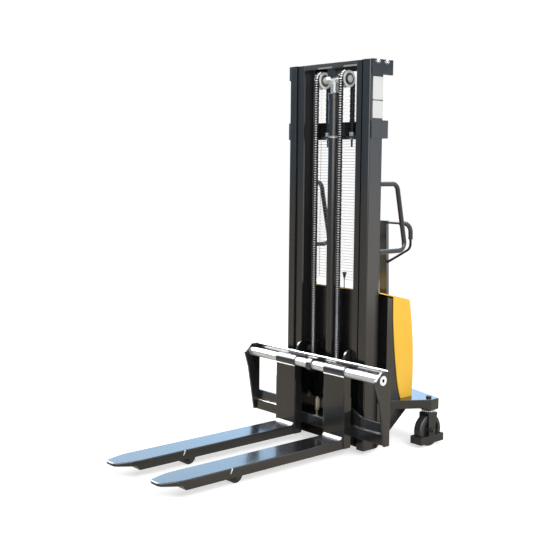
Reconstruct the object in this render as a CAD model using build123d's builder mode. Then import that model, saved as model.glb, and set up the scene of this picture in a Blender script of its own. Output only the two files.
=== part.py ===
"""Semi-electric stacker: two-stage mast, chain lift, adjustable forks and a rear power pack.

X runs across the truck, Y runs back from the fork tips to the tiller and Z is up from the floor.
The origin is on the floor, under the middle of the truck's length and width.
"""
import os
from math import atan2, cos, degrees, radians, sin

from build123d import *

os.makedirs("parts", exist_ok=True)

# Outer mast: rolled channel posts, open towards each other
mast_width = 604.0
mast_height = 2078.0
post_depth = 104.0
post_flange = 50.0
post_web = 9.0
post_wall = 10.0
post_corner = 8.0
post_foot = 20.0
cheek_thick = 12.0
cheek_front = 6.0
top_cheek_reach = 161.0
top_cheek_height = 77.0
top_beam_height = 37.0
chain_beam_drop = 311.0
chain_beam_height = 93.0
chain_cheek_reach = 130.0
beam_plate = 8.0
base_beam_foot = 30.0
base_beam_height = 60.0

# Inner mast: H-section posts that nest inside the outer channels
nest_gap = 1.0
inner_window = 394.0
inner_side_gap = 5.0
inner_wall = 9.0
inner_web = 8.0
inner_foot = 98.0
roller_bay = 95.0
head_bar_height = 28.0
inner_tie_height = 67.0
stroke_margin = 623.0

# Guide rollers
roller_gap = 0.3
roller_width = 35.0
stub_radius = 12.0
fit_gap = 0.05
mast_roller_drop = 68.0
upper_roller_drop = 43.0
lower_roller_height = 240.0

# Lift cylinder, crosshead, sheaves and chains
lift_axis_depth = 48.0
barrel_radius = 30.0
barrel_bore = 25.0
barrel_drop = 193.0
barrel_floor = 20.0
gland_radius = 33.0
gland_height = 36.0
gland_chamfer = 4.0
rod_radius = 22.5
rod_overlap = 255.0
crosshead_drop = 88.0
crosshead_radius = 20.0
crosshead_neck = 4.0
crosshead_rim = 3.5
head_bracket_width = 54.0
head_bracket_lap = 15.0
head_bracket_brow = 16.0
axle_radius = 15.0
sheave_width = 38.0
sheave_radius = 45.0
groove_play = 1.0
sheave_cap = 6.0
sheave_cap_radius = 27.0
axle_end = 3.0
chain_offset = 91.0
chain_radius = 45.0
chain_pitch = 12.7
chain_outer = 28.0
chain_inner = 20.0
chain_thick = 11.0
chain_lug_top = 490.0
anchor_shelf_drop = 77.0
anchor_shelf_thick = 10.0
anchor_tail = 58.0
anchor_head = 22.0
anchor_bolt = 5.5
anchor_nut_height = 9.0
flow_valve_offset = 100.0
flow_valve_stem = 7.0
flow_valve_body = 12.0
flow_valve_foot = 160.0
flow_valve_top = 236.0

# Carriage
carriage_width = 1028.0
end_plate_thick = 12.0
end_plate_top = 496.0
end_plate_foot = 107.0
shaft_height = 453.0
shaft_depth = 91.0
shaft_radius = 25.0
shaft_stub = 1.5
upper_bar_top = 498.0
upper_bar_height = 70.0
bar_thick = 12.0
bar_rear = 35.0
lower_bar_height = 57.0
back_plate_shoulder = 218.0
back_plate_crown = 290.0
crown_half_width = 190.0
shoulder_half_width = 330.0
upright_thick = 12.0
upright_gap = 9.0
upright_top = 548.0
support_width = 32.0
support_wall = 11.0
end_plate_nose = 54.0
end_plate_brow = 9.0
end_plate_knee = 25.0
end_plate_knee_height = 360.0
end_plate_toe = 37.0
upright_rear = 22.0
upright_round = 40.0
lug_plate_gap = 4.0
centre_hole = 8.0

# Forks, open underneath so that they nest over the straddle legs
fork_spread = 378.0
fork_width = 148.0
fork_length = 1150.0
fork_top = 95.0
blade_thick = 7.0
blade_skirt = 6.0
skirt_depth = 49.0
skirt_start = 130.0
nose_thick = 17.0
nose_root = 30.0
nose_step = 14.0
nose_round = 9.0
blade_round = 6.0
tip_taper = 115.0
tip_half_width = 39.0
tip_round = 30.0
tip_shoulder = 250.0
heel_weld = 13.0
shank_front = 115.0
shank_depth = 53.0
shank_plate = 14.0
shank_cheek = 8.0
doubler_thick = 5.0
doubler_height = 351.0
doubler_inset = 2.0
sleeve_wall = 6.0
sleeve_gap = 0.3
bar_gap = 0.5

# Straddle legs and load rollers
leg_width = 100.0
leg_foot = 46.0
leg_height = 38.0
leg_end = 52.0
load_roller_radius = 40.0
load_roller_width = 70.0
load_roller_reach = 806.0
load_axle_radius = 10.0
load_roller_chamfer = 3.0
leg_boss_radius = 20.0
side_play = 0.5

# Rear platform and casters
platform_edge = 48.0
platform_sheet = 5.0
platform_half_width = 430.0
flare_start = 205.0
flare_end = 400.0
platform_corner = 462.0
platform_rear_half = 132.0
rear_reach = 540.0
gusset_thick = 8.0
gusset_reach = 365.0
caster_offset = 390.0
caster_depth = 425.0
caster_trail = 6.0
caster_wheel_radius = 88.0
caster_wheel_width = 50.0
caster_pad = 100.0
caster_pad_drop = 14.0
caster_stem_radius = 10.0
caster_bearing_radius = 34.0
caster_bearing_height = 14.7
caster_crown_gap = 2.0
caster_crown_thick = 10.0
caster_crown_round = 6.0
caster_nut_radius = 16.0
caster_nut_height = 10.0
caster_cheek_top = 72.0
caster_cheek_foot = 50.0
wheel_hub = 20.0
wheel_web = 20.0
wheel_rim = 62.0
wheel_shoulder = 6.0
caster_cheek = 6.0
caster_wheel_gap = 3.0
caster_axle_radius = 8.0
guard_thick = 4.0
guard_length = 190.0
guard_foot = 20.0
guard_height = 42.0

# Power pack, cover and control lever
panel_thick = 4.0
panel_top = 858.0
cover_wall = 4.0
cover_front_top = 864.0
cover_rear_top = 806.0
cover_rear_depth = 358.0
cover_bulge_depth = 392.0
cover_bulge_height = 560.0
cover_foot_depth = 393.0
cover_edge_top_depth = 217.0
cover_edge_foot_depth = 296.0
cover_edge_knee_depth = 254.0
cover_edge_knee_height = 416.0
cover_lip = 7.0
cover_round = 12.0
cover_bend = 16.0
cover_gap = 0.5
frame_plate = 7.5
frame_front = 176.0
bulkhead_thick = 3.0
frame_rear = 330.0
shelf_gap = 3.0
shelf_thick = 4.0
battery_length = 410.0
battery_width = 170.0
battery_height = 225.0
tank_length = 220.0
tank_width = 140.0
tank_height = 150.0
motor_radius = 57.0
motor_height = 170.0
motor_offset = 110.0
pack_inset = 19.0
motor_foot = 18.0
motor_chamfer = 5.0
pack_round = 12.0
post_terminal = 12.0
terminal_offset = 137.0
terminal_inset = 57.0
filler_cap = 18.0
valve_width = 90.0
valve_depth = 62.0
valve_foot = 700.0
valve_height = 110.0
lever_depth = 148.0
lever_hub_radius = 10.0
lever_hub_width = 20.0
lever_stick_radius = 4.0
lever_length = 110.0
lever_slot_width = 24.0
lever_slot_length = 60.0
knob_radius = 13.5
knob_height = 35.0
knob_bevel = 2.5
button_offset = 110.0
key_offset = 40.0
button_depth = 250.0
button_radius = 18.0
button_stem = 9.0
button_height = 14.0
button_travel = 5.0
button_bevel = 4.0
stem_depth = 18.0
key_radius = 11.0
key_height = 22.0
key_stem = 5.0
key_collar = 4.0

# Mesh guard
wire = 3.0
wire_pitch = 15.7
wire_span = 158.0
mesh_half_width = 272.0
lower_mesh_foot = 907.0
mesh_clearance = 6.0
panel_half_width = 290.0

# Push handles and tiller
handle_tube = 13.0
handle_offset = 288.0
handle_top = 1437.0
handle_foot = 1078.0
handle_top_reach = 136.0
handle_foot_reach = 214.0
handle_bend = 42.0
tiller_depth = 496.0
tiller_pivot = 300.0
tiller_lean = 1.96
tiller_length = 912.0
tiller_arm_width = 56.0
tiller_arm_thick = 20.0
tiller_lip = 8.0
tiller_recess = 12.0
tiller_recess_end = 60.0
tiller_crown = 4.0
tiller_pin_radius = 10.0
tiller_hub_radius = 20.0
tiller_ear = 10.0
tiller_plate = 8.0
loop_rod = 7.0
loop_half_width = 198.0
loop_leg_drop = 230.0
loop_knee_drop = 137.0
loop_bend = 45.0
grip_radius = 12.5
grip_start = 120.0
grip_drop = 87.0

# Places worked out from the driving dimensions
tip_reach = shank_front + fork_length
mast_y = (tip_reach - rear_reach) / 2
lift_stroke = mast_height - stroke_margin
chain_beam_top = mast_height - chain_beam_drop
anchor_shelf_height = chain_beam_top - anchor_shelf_drop
crosshead_height = mast_height - crosshead_drop
barrel_top = mast_height - barrel_drop
post_x = mast_width / 2
post_rear = mast_y + post_depth
mid_y = mast_y + post_depth / 2
channel_x = post_x - post_flange
web_face = post_x - post_web
lift_y = mast_y + lift_axis_depth
inner_front = mast_y + post_wall + nest_gap
inner_rear = post_rear - post_wall - nest_gap
inner_x = inner_window / 2
inner_side = web_face - inner_side_gap
inner_web_x = (inner_x + inner_side) / 2
shaft_y = mast_y - shaft_depth
bar_y = mast_y - bar_rear
end_plate_x = carriage_width / 2 - end_plate_thick
upright_x = inner_x - upright_gap
fork_x = fork_spread / 2
shank_y = mast_y - shank_front
shank_rear = shank_y + shank_depth
tip_y = mast_y - tip_reach
leg_top = leg_foot + leg_height
base_beam_top = base_beam_foot + base_beam_height
load_y = mast_y - load_roller_reach
crown_foot = 2 * caster_wheel_radius + caster_crown_gap
crown_top = crown_foot + caster_crown_thick
caster_pad_foot = crown_top + caster_bearing_height + roller_gap
platform_foot = caster_pad_foot + caster_pad_drop
platform_top = platform_foot + platform_edge
panel_y = post_rear + panel_thick
cover_front = panel_y + cover_gap
cover_slope = degrees(atan2(cover_front_top - cover_rear_top, mast_y + cover_rear_depth - cover_front))
caster_y = mast_y + caster_depth
wheel_y = caster_y - caster_trail
guard_inner = caster_wheel_width / 2 + caster_wheel_gap + caster_cheek
shelf_height = platform_top + battery_height + post_terminal + shelf_gap
sides = (("left", -1), ("right", 1))


def block(x0, x1, y0, y1, z0, z1, mode=Mode.ADD):
    """A block between two corners."""
    with Locations(((x0 + x1) / 2, (y0 + y1) / 2, (z0 + z1) / 2)):
        Box(abs(x1 - x0), abs(y1 - y0), abs(z1 - z0), mode=mode)


def rod(radius, x0, x1, y, z, mode=Mode.ADD):
    """A round bar along X."""
    with Locations(Location(((x0 + x1) / 2, y, z), (0, 90, 0))):
        Cylinder(radius, abs(x1 - x0), mode=mode)


def post(radius, x, y, z0, z1, mode=Mode.ADD):
    """A round bar along Z."""
    with Locations((x, y, (z0 + z1) / 2)):
        Cylinder(radius, z1 - z0, mode=mode)


def side_plate(points, x, thickness, mode=Mode.ADD):
    """A plate cut to an outline of (Y, Z) points, standing across X."""
    with BuildSketch(Plane.YZ.offset(x)) as shape:
        with BuildLine():
            Polyline(*points, close=True)
        make_face()
    extrude(shape.sketch, amount=thickness, mode=mode)


def front_plate(points, y, thickness, mode=Mode.ADD):
    """A plate cut to an outline of (X, Z) points, reaching back from y."""
    with BuildSketch(Plane.XZ.offset(-y)) as shape:
        with BuildLine():
            Polyline(*points, close=True)
        make_face()
    extrude(shape.sketch, amount=-thickness, mode=mode)


def save(builder, name):
    """Labels a finished piece and writes it."""
    builder.part.label = name
    export_step(builder.part, "parts/" + name + ".step")


# Outer mast posts, each with the stub axle of its top guide roller
for side, s in sides:
    with BuildPart() as outer_post:
        block(s * channel_x, s * post_x, mast_y, post_rear, post_foot, mast_height)
        fillet(outer_post.edges().filter_by(Axis.Z).group_by(Axis.X)[0 if s < 0 else -1], post_corner)
        block(s * channel_x, s * web_face, mast_y + post_wall, post_rear - post_wall, post_foot, mast_height,
              mode=Mode.SUBTRACT)
        mast_roller_x = inner_side - roller_width - roller_gap
        rod(stub_radius, s * mast_roller_x, s * (web_face + fit_gap), mid_y, mast_height - mast_roller_drop)
    save(outer_post, side + "_post")

# Guide rollers at the top of the outer posts, running inside the inner posts
inner_groove = (inner_rear - inner_front) / 2 - inner_wall
with BuildPart() as mast_guide_rollers:
    for side, s in sides:
        near, far = mast_roller_x + roller_gap, inner_side
        roller_z = mast_height - mast_roller_drop
        rod(inner_groove - roller_gap, s * near, s * far, mid_y, roller_z)
        rod(stub_radius + fit_gap, s * near, s * far, mid_y, roller_z, mode=Mode.SUBTRACT)
save(mast_guide_rollers, "mast_guide_rollers")

# Cross-members behind the posts: an angle at the top and a channel with the chain anchor shelf
shelf_front = lift_y + barrel_radius + 2 * nest_gap
with BuildPart() as mast_crossmembers:
    top_rear = mast_y + top_cheek_reach
    block(-post_x, post_x, top_rear - beam_plate, top_rear, mast_height - top_beam_height, mast_height)
    block(-post_x, post_x, post_rear, top_rear - beam_plate, mast_height - beam_plate, mast_height)
    chain_rear = mast_y + chain_cheek_reach
    chain_beam_foot = chain_beam_top - chain_beam_height
    block(-post_x, post_x, chain_rear - beam_plate, chain_rear, chain_beam_foot, chain_beam_top)
    block(-post_x, post_x, post_rear, chain_rear - beam_plate, chain_beam_top - beam_plate, chain_beam_top)
    shelf_half = chain_offset + chain_outer + anchor_head / 2
    shelf_foot = anchor_shelf_height - anchor_shelf_thick
    block(-shelf_half, shelf_half, shelf_front, chain_rear - beam_plate, shelf_foot, anchor_shelf_height)
    for s in (-1, 1):
        post(anchor_bolt + fit_gap, s * chain_offset, lift_y + chain_radius, shelf_foot, anchor_shelf_height,
             mode=Mode.SUBTRACT)
save(mast_crossmembers, "mast_crossmembers")

# Cheek plates that tie the cross-members to the posts' outer faces
with BuildPart() as crossmember_cheeks:
    for s in (-1, 1):
        block(s * post_x, s * (post_x + cheek_thick), mast_y + cheek_front, top_rear,
              mast_height - top_cheek_height, mast_height)
        block(s * post_x, s * (post_x + cheek_thick), mast_y + cheek_front, chain_rear,
              chain_beam_foot, chain_beam_top)
save(crossmember_cheeks, "crossmember_cheeks")

# Base beam between the posts' feet, under the lift cylinder
with BuildPart() as base_beam:
    block(-web_face, web_face, mast_y + post_wall, post_rear - post_wall, base_beam_foot, base_beam_top)
save(base_beam, "base_beam")

# Straddle legs with a fork end, bosses and axle for the load roller
leg_front = load_y - leg_end
roller_slot = load_roller_width / 2 + side_play
for side, s in sides:
    with BuildPart() as leg:
        inside, outside = s * fork_x - leg_width / 2, s * fork_x + leg_width / 2
        block(inside, outside, leg_front, mast_y + post_wall, leg_foot, leg_top)
        rod(leg_boss_radius, inside, outside, load_y, load_roller_radius)
        block(s * fork_x - roller_slot, s * fork_x + roller_slot, leg_front, load_y + leg_end, 0, leg_top,
              mode=Mode.SUBTRACT)
        rod(load_axle_radius, inside, outside, load_y, load_roller_radius)
    save(leg, side + "_leg")

    with BuildPart() as load_roller:
        rod(load_roller_radius, s * fork_x - load_roller_width / 2, s * fork_x + load_roller_width / 2,
            load_y, load_roller_radius)
        chamfer(load_roller.edges().filter_by(GeomType.CIRCLE), load_roller_chamfer)
        rod(load_axle_radius + fit_gap, s * fork_x - load_roller_width, s * fork_x + load_roller_width,
            load_y, load_roller_radius, mode=Mode.SUBTRACT)
    save(load_roller, side + "_load_roller")

# Rear platform: a folded pan with flared wings and a tapered square pad over each caster
platform_outline = [
    (-post_x, post_rear), (-post_x, mast_y + flare_start), (-platform_half_width, mast_y + flare_end),
    (-platform_half_width, mast_y + platform_corner), (-platform_rear_half, mast_y + rear_reach),
    (platform_rear_half, mast_y + rear_reach), (platform_half_width, mast_y + platform_corner),
    (platform_half_width, mast_y + flare_end), (post_x, mast_y + flare_start), (post_x, post_rear),
]
with BuildSketch() as platform_shape:
    with BuildLine():
        Polyline(*platform_outline, close=True)
    make_face()
pad_half = caster_pad / 2
with BuildPart() as caster_pads:
    for s in (-1, 1):
        pad_x = s * caster_offset
        for height, half in ((caster_pad_foot, pad_half - caster_pad_drop), (platform_foot, pad_half)):
            with BuildSketch(Plane.XY.offset(height)):
                with Locations((pad_x, caster_y)):
                    Rectangle(2 * half, 2 * half)
        loft()
        block(pad_x - pad_half, pad_x + pad_half, caster_y - pad_half, caster_y + pad_half, platform_foot,
              platform_top - platform_sheet)
    with BuildSketch(Plane.XY.offset(caster_pad_foot)):
        add(platform_shape.sketch)
    extrude(amount=platform_top - caster_pad_foot, mode=Mode.INTERSECT)
with BuildPart() as platform:
    with BuildSketch(Plane.XY.offset(platform_foot)):
        add(platform_shape.sketch)
    extrude(amount=platform_edge)
    with BuildSketch(Plane.XY.offset(platform_foot)):
        add(platform_shape.sketch)
        offset(amount=-platform_sheet, kind=Kind.INTERSECTION, mode=Mode.REPLACE)
    extrude(amount=platform_edge - platform_sheet, mode=Mode.SUBTRACT)
    add(caster_pads.part)
    for s in (-1, 1):
        post(caster_stem_radius + fit_gap, s * caster_offset, caster_y, caster_pad_foot, platform_top,
             mode=Mode.SUBTRACT)
save(platform, "platform")

# Gusset plates under the platform, welded to the posts' rear faces
with BuildPart() as chassis_gussets:
    for s in (-1, 1):
        gusset = [(post_rear, post_foot), (post_rear, platform_foot), (mast_y + gusset_reach, platform_foot)]
        side_plate(gusset, s * (post_x - gusset_thick), s * gusset_thick)
save(chassis_gussets, "chassis_gussets")

# Casters: swivel fork with stem, thrust bearing, axle and foot guard, and a wheel with a recessed web
guard_outer = guard_inner + guard_thick
guard_top = guard_foot + guard_height
for side, s in sides:
    caster_x = s * caster_offset
    with BuildPart() as caster_fork:
        block(caster_x - guard_inner, caster_x + guard_inner, caster_y - caster_cheek_top / 2,
              caster_y + caster_cheek_top / 2, crown_foot, crown_top)
        fillet(caster_fork.edges().group_by(Axis.Z)[-1], caster_crown_round)
        post(caster_bearing_radius, caster_x, caster_y, crown_top, caster_pad_foot - roller_gap)
        post(caster_stem_radius, caster_x, caster_y, crown_top, platform_top + roller_gap)
        with BuildSketch(Plane.XY.offset(platform_top + roller_gap)):
            with Locations((caster_x, caster_y)):
                RegularPolygon(caster_nut_radius, 6)
        extrude(amount=caster_nut_height)
        cheek_outline = [
            (caster_y - caster_cheek_top / 2, crown_foot), (caster_y + caster_cheek_top / 2, crown_foot),
            (wheel_y + caster_cheek_foot / 2, caster_wheel_radius),
            (wheel_y + caster_cheek_foot / 2, guard_foot), (wheel_y - caster_cheek_foot / 2, guard_foot),
            (wheel_y - caster_cheek_foot / 2, caster_wheel_radius),
        ]
        for t in (-1, 1):
            side_plate(cheek_outline, caster_x + t * (guard_inner - caster_cheek), t * caster_cheek)
            block(caster_x + t * guard_inner, caster_x + t * guard_outer, wheel_y - guard_length / 2,
                  wheel_y + guard_length / 2, guard_foot, guard_top)
            block(caster_x - guard_inner, caster_x + guard_inner,
                  wheel_y + t * (guard_length / 2 - guard_thick), wheel_y + t * guard_length / 2,
                  guard_foot, guard_top)
        rod(caster_axle_radius, caster_x - guard_outer, caster_x + guard_outer, wheel_y, caster_wheel_radius)
    save(caster_fork, side + "_caster_fork")

    wheel_centre = (caster_x, wheel_y, caster_wheel_radius)
    with BuildPart() as caster_wheel:
        half = caster_wheel_width / 2
        bore = caster_axle_radius + fit_gap
        tread_edge = caster_wheel_radius - wheel_shoulder
        with BuildSketch(Plane(wheel_centre, x_dir=(1, 0, 0), z_dir=(0, -1, 0))):
            with BuildLine():
                Polyline((-half, bore), (-half, wheel_hub), (-wheel_web / 2, wheel_hub),
                         (-wheel_web / 2, wheel_rim), (-half, wheel_rim), (-half, tread_edge),
                         (-half + wheel_shoulder, caster_wheel_radius),
                         (half - wheel_shoulder, caster_wheel_radius), (half, tread_edge), (half, wheel_rim),
                         (wheel_web / 2, wheel_rim), (wheel_web / 2, wheel_hub), (half, wheel_hub),
                         (half, bore), close=True)
            make_face()
        revolve(axis=Axis(wheel_centre, (1, 0, 0)))
    save(caster_wheel, side + "_caster_wheel")

# Inner mast posts: nested H-sections, with a bare web at the foot that carries the guide roller's stub axle
bay_top = inner_foot + roller_bay
inner_roller_z = inner_foot + roller_bay / 2
web_inside = inner_web_x - inner_web / 2
web_outside = inner_web_x + inner_web / 2
inner_roller_x = web_outside + roller_gap
for side, s in sides:
    with BuildPart() as inner_post:
        block(s * inner_x, s * inner_side, inner_front, inner_rear, bay_top, mast_height)
        for near, far in ((inner_x, web_inside), (web_outside, inner_side)):
            block(s * near, s * far, inner_front + inner_wall, inner_rear - inner_wall, bay_top, mast_height,
                  mode=Mode.SUBTRACT)
        block(s * web_inside, s * web_outside, inner_front, inner_rear, inner_foot, bay_top)
        rod(stub_radius, s * inner_web_x, s * (inner_roller_x + roller_width), mid_y, inner_roller_z)
    save(inner_post, side + "_inner_post")

# Guide rollers at the foot of the inner posts, running inside the outer channels
with BuildPart() as inner_guide_rollers:
    for s in (-1, 1):
        near, far = s * inner_roller_x, s * (inner_roller_x + roller_width)
        rod(post_depth / 2 - post_wall - roller_gap, near, far, mid_y, inner_roller_z)
        rod(stub_radius + fit_gap, near, far, mid_y, inner_roller_z, mode=Mode.SUBTRACT)
save(inner_guide_rollers, "inner_guide_rollers")

# Head bar across the front of the inner posts, and the tie across the back of their feet
with BuildPart() as inner_crossbars:
    block(-inner_x, inner_x, inner_front, inner_front + inner_wall,
          mast_height - head_bar_height, mast_height)
    block(-web_inside, web_inside, inner_rear - inner_wall, inner_rear,
          inner_foot, inner_foot + inner_tie_height)
save(inner_crossbars, "inner_crossbars")

# Lift cylinder: barrel on the base beam, gland at its mouth and chromed rod
gland_top = barrel_top + gland_height
with BuildPart() as lift_cylinder:
    post(barrel_radius, 0, lift_y, base_beam_top, barrel_top)
    post(barrel_bore, 0, lift_y, base_beam_top + barrel_floor, barrel_top, mode=Mode.SUBTRACT)
save(lift_cylinder, "lift_cylinder")

with BuildPart() as cylinder_gland:
    post(gland_radius, 0, lift_y, barrel_top, gland_top)
    chamfer(cylinder_gland.edges().sort_by(Axis.Z)[-1], gland_chamfer)
    post(rod_radius + fit_gap, 0, lift_y, barrel_top, gland_top, mode=Mode.SUBTRACT)
save(cylinder_gland, "cylinder_gland")

rod_top = crosshead_height - crosshead_radius - crosshead_neck
rod_foot = barrel_top - lift_stroke - rod_overlap
with BuildPart() as piston_rod:
    post(rod_radius, 0, lift_y, rod_foot, rod_top)
save(piston_rod, "piston_rod")

# Crosshead: a tube on the rod's end with an axle and retaining disc for each sheave
sheave_inside = chain_offset - sheave_width / 2
sheave_outside = chain_offset + sheave_width / 2
disc_x = sheave_outside + roller_gap
with BuildPart() as crosshead:
    rod(crosshead_radius, -sheave_inside + roller_gap, sheave_inside - roller_gap, lift_y, crosshead_height)
    post(rod_radius + crosshead_rim, 0, lift_y, rod_top, crosshead_height)
    axle_tip = disc_x + sheave_cap + axle_end
    rod(axle_radius, -axle_tip, axle_tip, lift_y, crosshead_height)
    for s in (-1, 1):
        rod(sheave_cap_radius, s * disc_x, s * (disc_x + sheave_cap), lift_y, crosshead_height)
save(crosshead, "crosshead")

# Bracket between the crosshead and the inner mast's head bar, hooked over the back of the crosshead
with BuildPart() as head_bracket:
    block(-head_bracket_width / 2, head_bracket_width / 2,
          inner_front + inner_wall, lift_y + crosshead_radius,
          crosshead_height, mast_height - head_bar_height + head_bracket_lap)
    block(-head_bracket_width / 2, head_bracket_width / 2, inner_front + inner_wall, lift_y,
          crosshead_height, crosshead_height + head_bracket_brow, mode=Mode.SUBTRACT)
    rod(crosshead_radius + fit_gap, -head_bracket_width, head_bracket_width, lift_y, crosshead_height,
        mode=Mode.SUBTRACT)
    post(rod_radius + crosshead_rim + fit_gap, 0, lift_y, rod_top, crosshead_height + fit_gap,
         mode=Mode.SUBTRACT)
save(head_bracket, "head_bracket")

# Chain sheaves on the crosshead's axle
sheave_tread = chain_radius - chain_thick / 2 - roller_gap
groove_half = chain_outer / 2 + groove_play
with BuildPart() as chain_sheaves:
    for s in (-1, 1):
        centre = (s * chain_offset, lift_y, crosshead_height)
        half = sheave_width / 2
        bore = axle_radius + fit_gap
        with BuildSketch(Plane(centre, x_dir=(1, 0, 0), z_dir=(0, -1, 0))):
            with BuildLine():
                Polyline((-half, bore), (-half, sheave_radius), (-groove_half, sheave_radius),
                         (-groove_half, sheave_tread), (groove_half, sheave_tread),
                         (groove_half, sheave_radius), (half, sheave_radius), (half, bore), close=True)
            make_face()
        revolve(axis=Axis(centre, (1, 0, 0)))
save(chain_sheaves, "chain_sheaves")


def chain_strand(x, y, z0, z1):
    """A straight run of leaf chain: wide outer links and narrow inner links by turns, one to a pitch."""
    count = round((z1 - z0) / chain_pitch)
    step = (z1 - z0) / count
    edge = []
    for i in range(count):
        half = (chain_inner if i % 2 else chain_outer) / 2
        edge += [(half, z0 + i * step), (half, z0 + (i + 1) * step)]
    outline = [(x + half, z) for half, z in edge] + [(x - half, z) for half, z in reversed(edge)]
    front_plate(outline, y - chain_thick / 2, chain_thick)


# Lift chains: front strands to the carriage, wraps over the sheaves and rear strands to the anchors
with BuildPart() as front_chains:
    for s in (-1, 1):
        chain_strand(s * chain_offset, lift_y - chain_radius, chain_lug_top, crosshead_height)
save(front_chains, "front_chains")

wrap_span = 2 * (chain_radius + chain_thick)
with BuildPart() as chain_wraps:
    for s in (-1, 1):
        with BuildSketch(Plane.YZ.offset(s * chain_offset - chain_outer / 2)):
            with Locations((lift_y, crosshead_height)):
                Circle(chain_radius + chain_thick / 2)
                Circle(chain_radius - chain_thick / 2, mode=Mode.SUBTRACT)
            with Locations((lift_y, crosshead_height - chain_radius)):
                Rectangle(wrap_span, 2 * chain_radius, mode=Mode.SUBTRACT)
        extrude(amount=chain_outer)
save(chain_wraps, "chain_wraps")

anchor_y = lift_y + chain_radius
anchor_top = anchor_shelf_height + anchor_head
with BuildPart() as rear_chains:
    for s in (-1, 1):
        chain_strand(s * chain_offset, anchor_y, anchor_top, crosshead_height)
save(rear_chains, "rear_chains")

# Chain anchors: threaded bolts through the shelf, each with a clevis head above and a nut below
with BuildPart() as chain_anchors:
    for s in (-1, 1):
        anchor_x = s * chain_offset
        block(anchor_x - chain_outer / 2, anchor_x + chain_outer / 2, anchor_y - chain_thick / 2,
              anchor_y + chain_thick / 2, anchor_shelf_height, anchor_top)
        post(anchor_bolt, anchor_x, anchor_y, anchor_shelf_height - anchor_tail, anchor_shelf_height)
        with BuildSketch(Plane.XY.offset(shelf_foot - anchor_nut_height)):
            with Locations((anchor_x, anchor_y)):
                RegularPolygon(anchor_bolt * 2, 6)
        extrude(amount=anchor_nut_height)
save(chain_anchors, "chain_anchors")

# Flow valve beside the cylinder's foot, piped into the barrel
valve_y = lift_y
with BuildPart() as flow_valve:
    post(flow_valve_stem, -flow_valve_offset, valve_y, base_beam_top, flow_valve_top)
    post(flow_valve_body, -flow_valve_offset, valve_y, flow_valve_foot, flow_valve_top - flow_valve_body)
    rod(flow_valve_stem, -flow_valve_offset, -barrel_radius, valve_y, base_beam_top + 2 * flow_valve_stem)
    post(barrel_radius, 0, lift_y, base_beam_top, barrel_top, mode=Mode.SUBTRACT)
save(flow_valve, "flow_valve")

# Carriage end plates, tapered towards the floor
with BuildPart() as carriage_end_plates:
    end_outline = [
        (bar_y, end_plate_foot), (bar_y, end_plate_top), (shaft_y - end_plate_brow, end_plate_top),
        (shaft_y - end_plate_nose, shaft_height), (shaft_y - end_plate_knee, end_plate_knee_height),
        (bar_y - end_plate_toe, end_plate_foot),
    ]
    for s in (-1, 1):
        side_plate(end_outline, s * end_plate_x, s * end_plate_thick)
    rod(shaft_radius + fit_gap, -carriage_width, carriage_width, shaft_y, shaft_height, mode=Mode.SUBTRACT)
save(carriage_end_plates, "carriage_end_plates")

# Upper bar behind the fork shaft
bar_front = bar_y - bar_thick
with BuildPart() as carriage_upper_bar:
    block(-end_plate_x, end_plate_x, bar_front, bar_y, upper_bar_top - upper_bar_height, upper_bar_top)
save(carriage_upper_bar, "carriage_upper_bar")

# Lower plate that rises to the uprights, and the bar that the fork shanks bear on
with BuildPart() as carriage_lower_plate:
    notch_half = upright_x - upright_thick
    lower_bar_top = end_plate_foot + lower_bar_height
    back_outline = [
        (-end_plate_x, end_plate_foot), (end_plate_x, end_plate_foot), (end_plate_x, back_plate_shoulder),
        (shoulder_half_width, back_plate_shoulder), (crown_half_width, back_plate_crown),
        (notch_half, back_plate_crown), (notch_half, lower_bar_top), (-notch_half, lower_bar_top),
        (-notch_half, back_plate_crown), (-crown_half_width, back_plate_crown),
        (-shoulder_half_width, back_plate_shoulder), (-end_plate_x, back_plate_shoulder),
    ]
    front_plate(back_outline, bar_front, bar_thick)
    block(-end_plate_x, end_plate_x, shank_rear + bar_gap, bar_front, end_plate_foot, lower_bar_top)
save(carriage_lower_plate, "carriage_lower_plate")

# Uprights inside the inner mast, with rounded tops and a stub axle for each guide roller
carriage_roller_x = web_inside - roller_gap - roller_width
carriage_roller_heights = (("upper", upright_top - upper_roller_drop), ("lower", lower_roller_height))
with BuildPart() as carriage_uprights:
    for s in (-1, 1):
        block(s * (upright_x - upright_thick), s * upright_x, bar_y, mid_y + upright_rear,
              end_plate_foot, upright_top)
    fillet(carriage_uprights.edges().filter_by(Axis.X).group_by(Axis.Z)[-1], upright_round)
    for s in (-1, 1):
        for name, height in carriage_roller_heights:
            rod(stub_radius, s * (upright_x - upright_thick / 2), s * (web_inside - roller_gap),
                mid_y, height)
save(carriage_uprights, "carriage_uprights")

# Carriage guide rollers, running inside the inner posts
for name, height in carriage_roller_heights:
    with BuildPart() as carriage_rollers:
        for s in (-1, 1):
            near, far = s * carriage_roller_x, s * (carriage_roller_x + roller_width)
            rod(inner_groove - roller_gap, near, far, mid_y, height)
            rod(stub_radius + fit_gap, near, far, mid_y, height, mode=Mode.SUBTRACT)
    save(carriage_rollers, name + "_carriage_rollers")

# Fork shaft with a centre hole in each end
with BuildPart() as fork_shaft:
    shaft_end = carriage_width / 2 + shaft_stub
    rod(shaft_radius, -shaft_end, shaft_end, shaft_y, shaft_height)
    for s in (-1, 1):
        rod(centre_hole, s * (shaft_end - end_plate_thick), s * shaft_end, shaft_y, shaft_height,
            mode=Mode.SUBTRACT)
save(fork_shaft, "fork_shaft")

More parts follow.
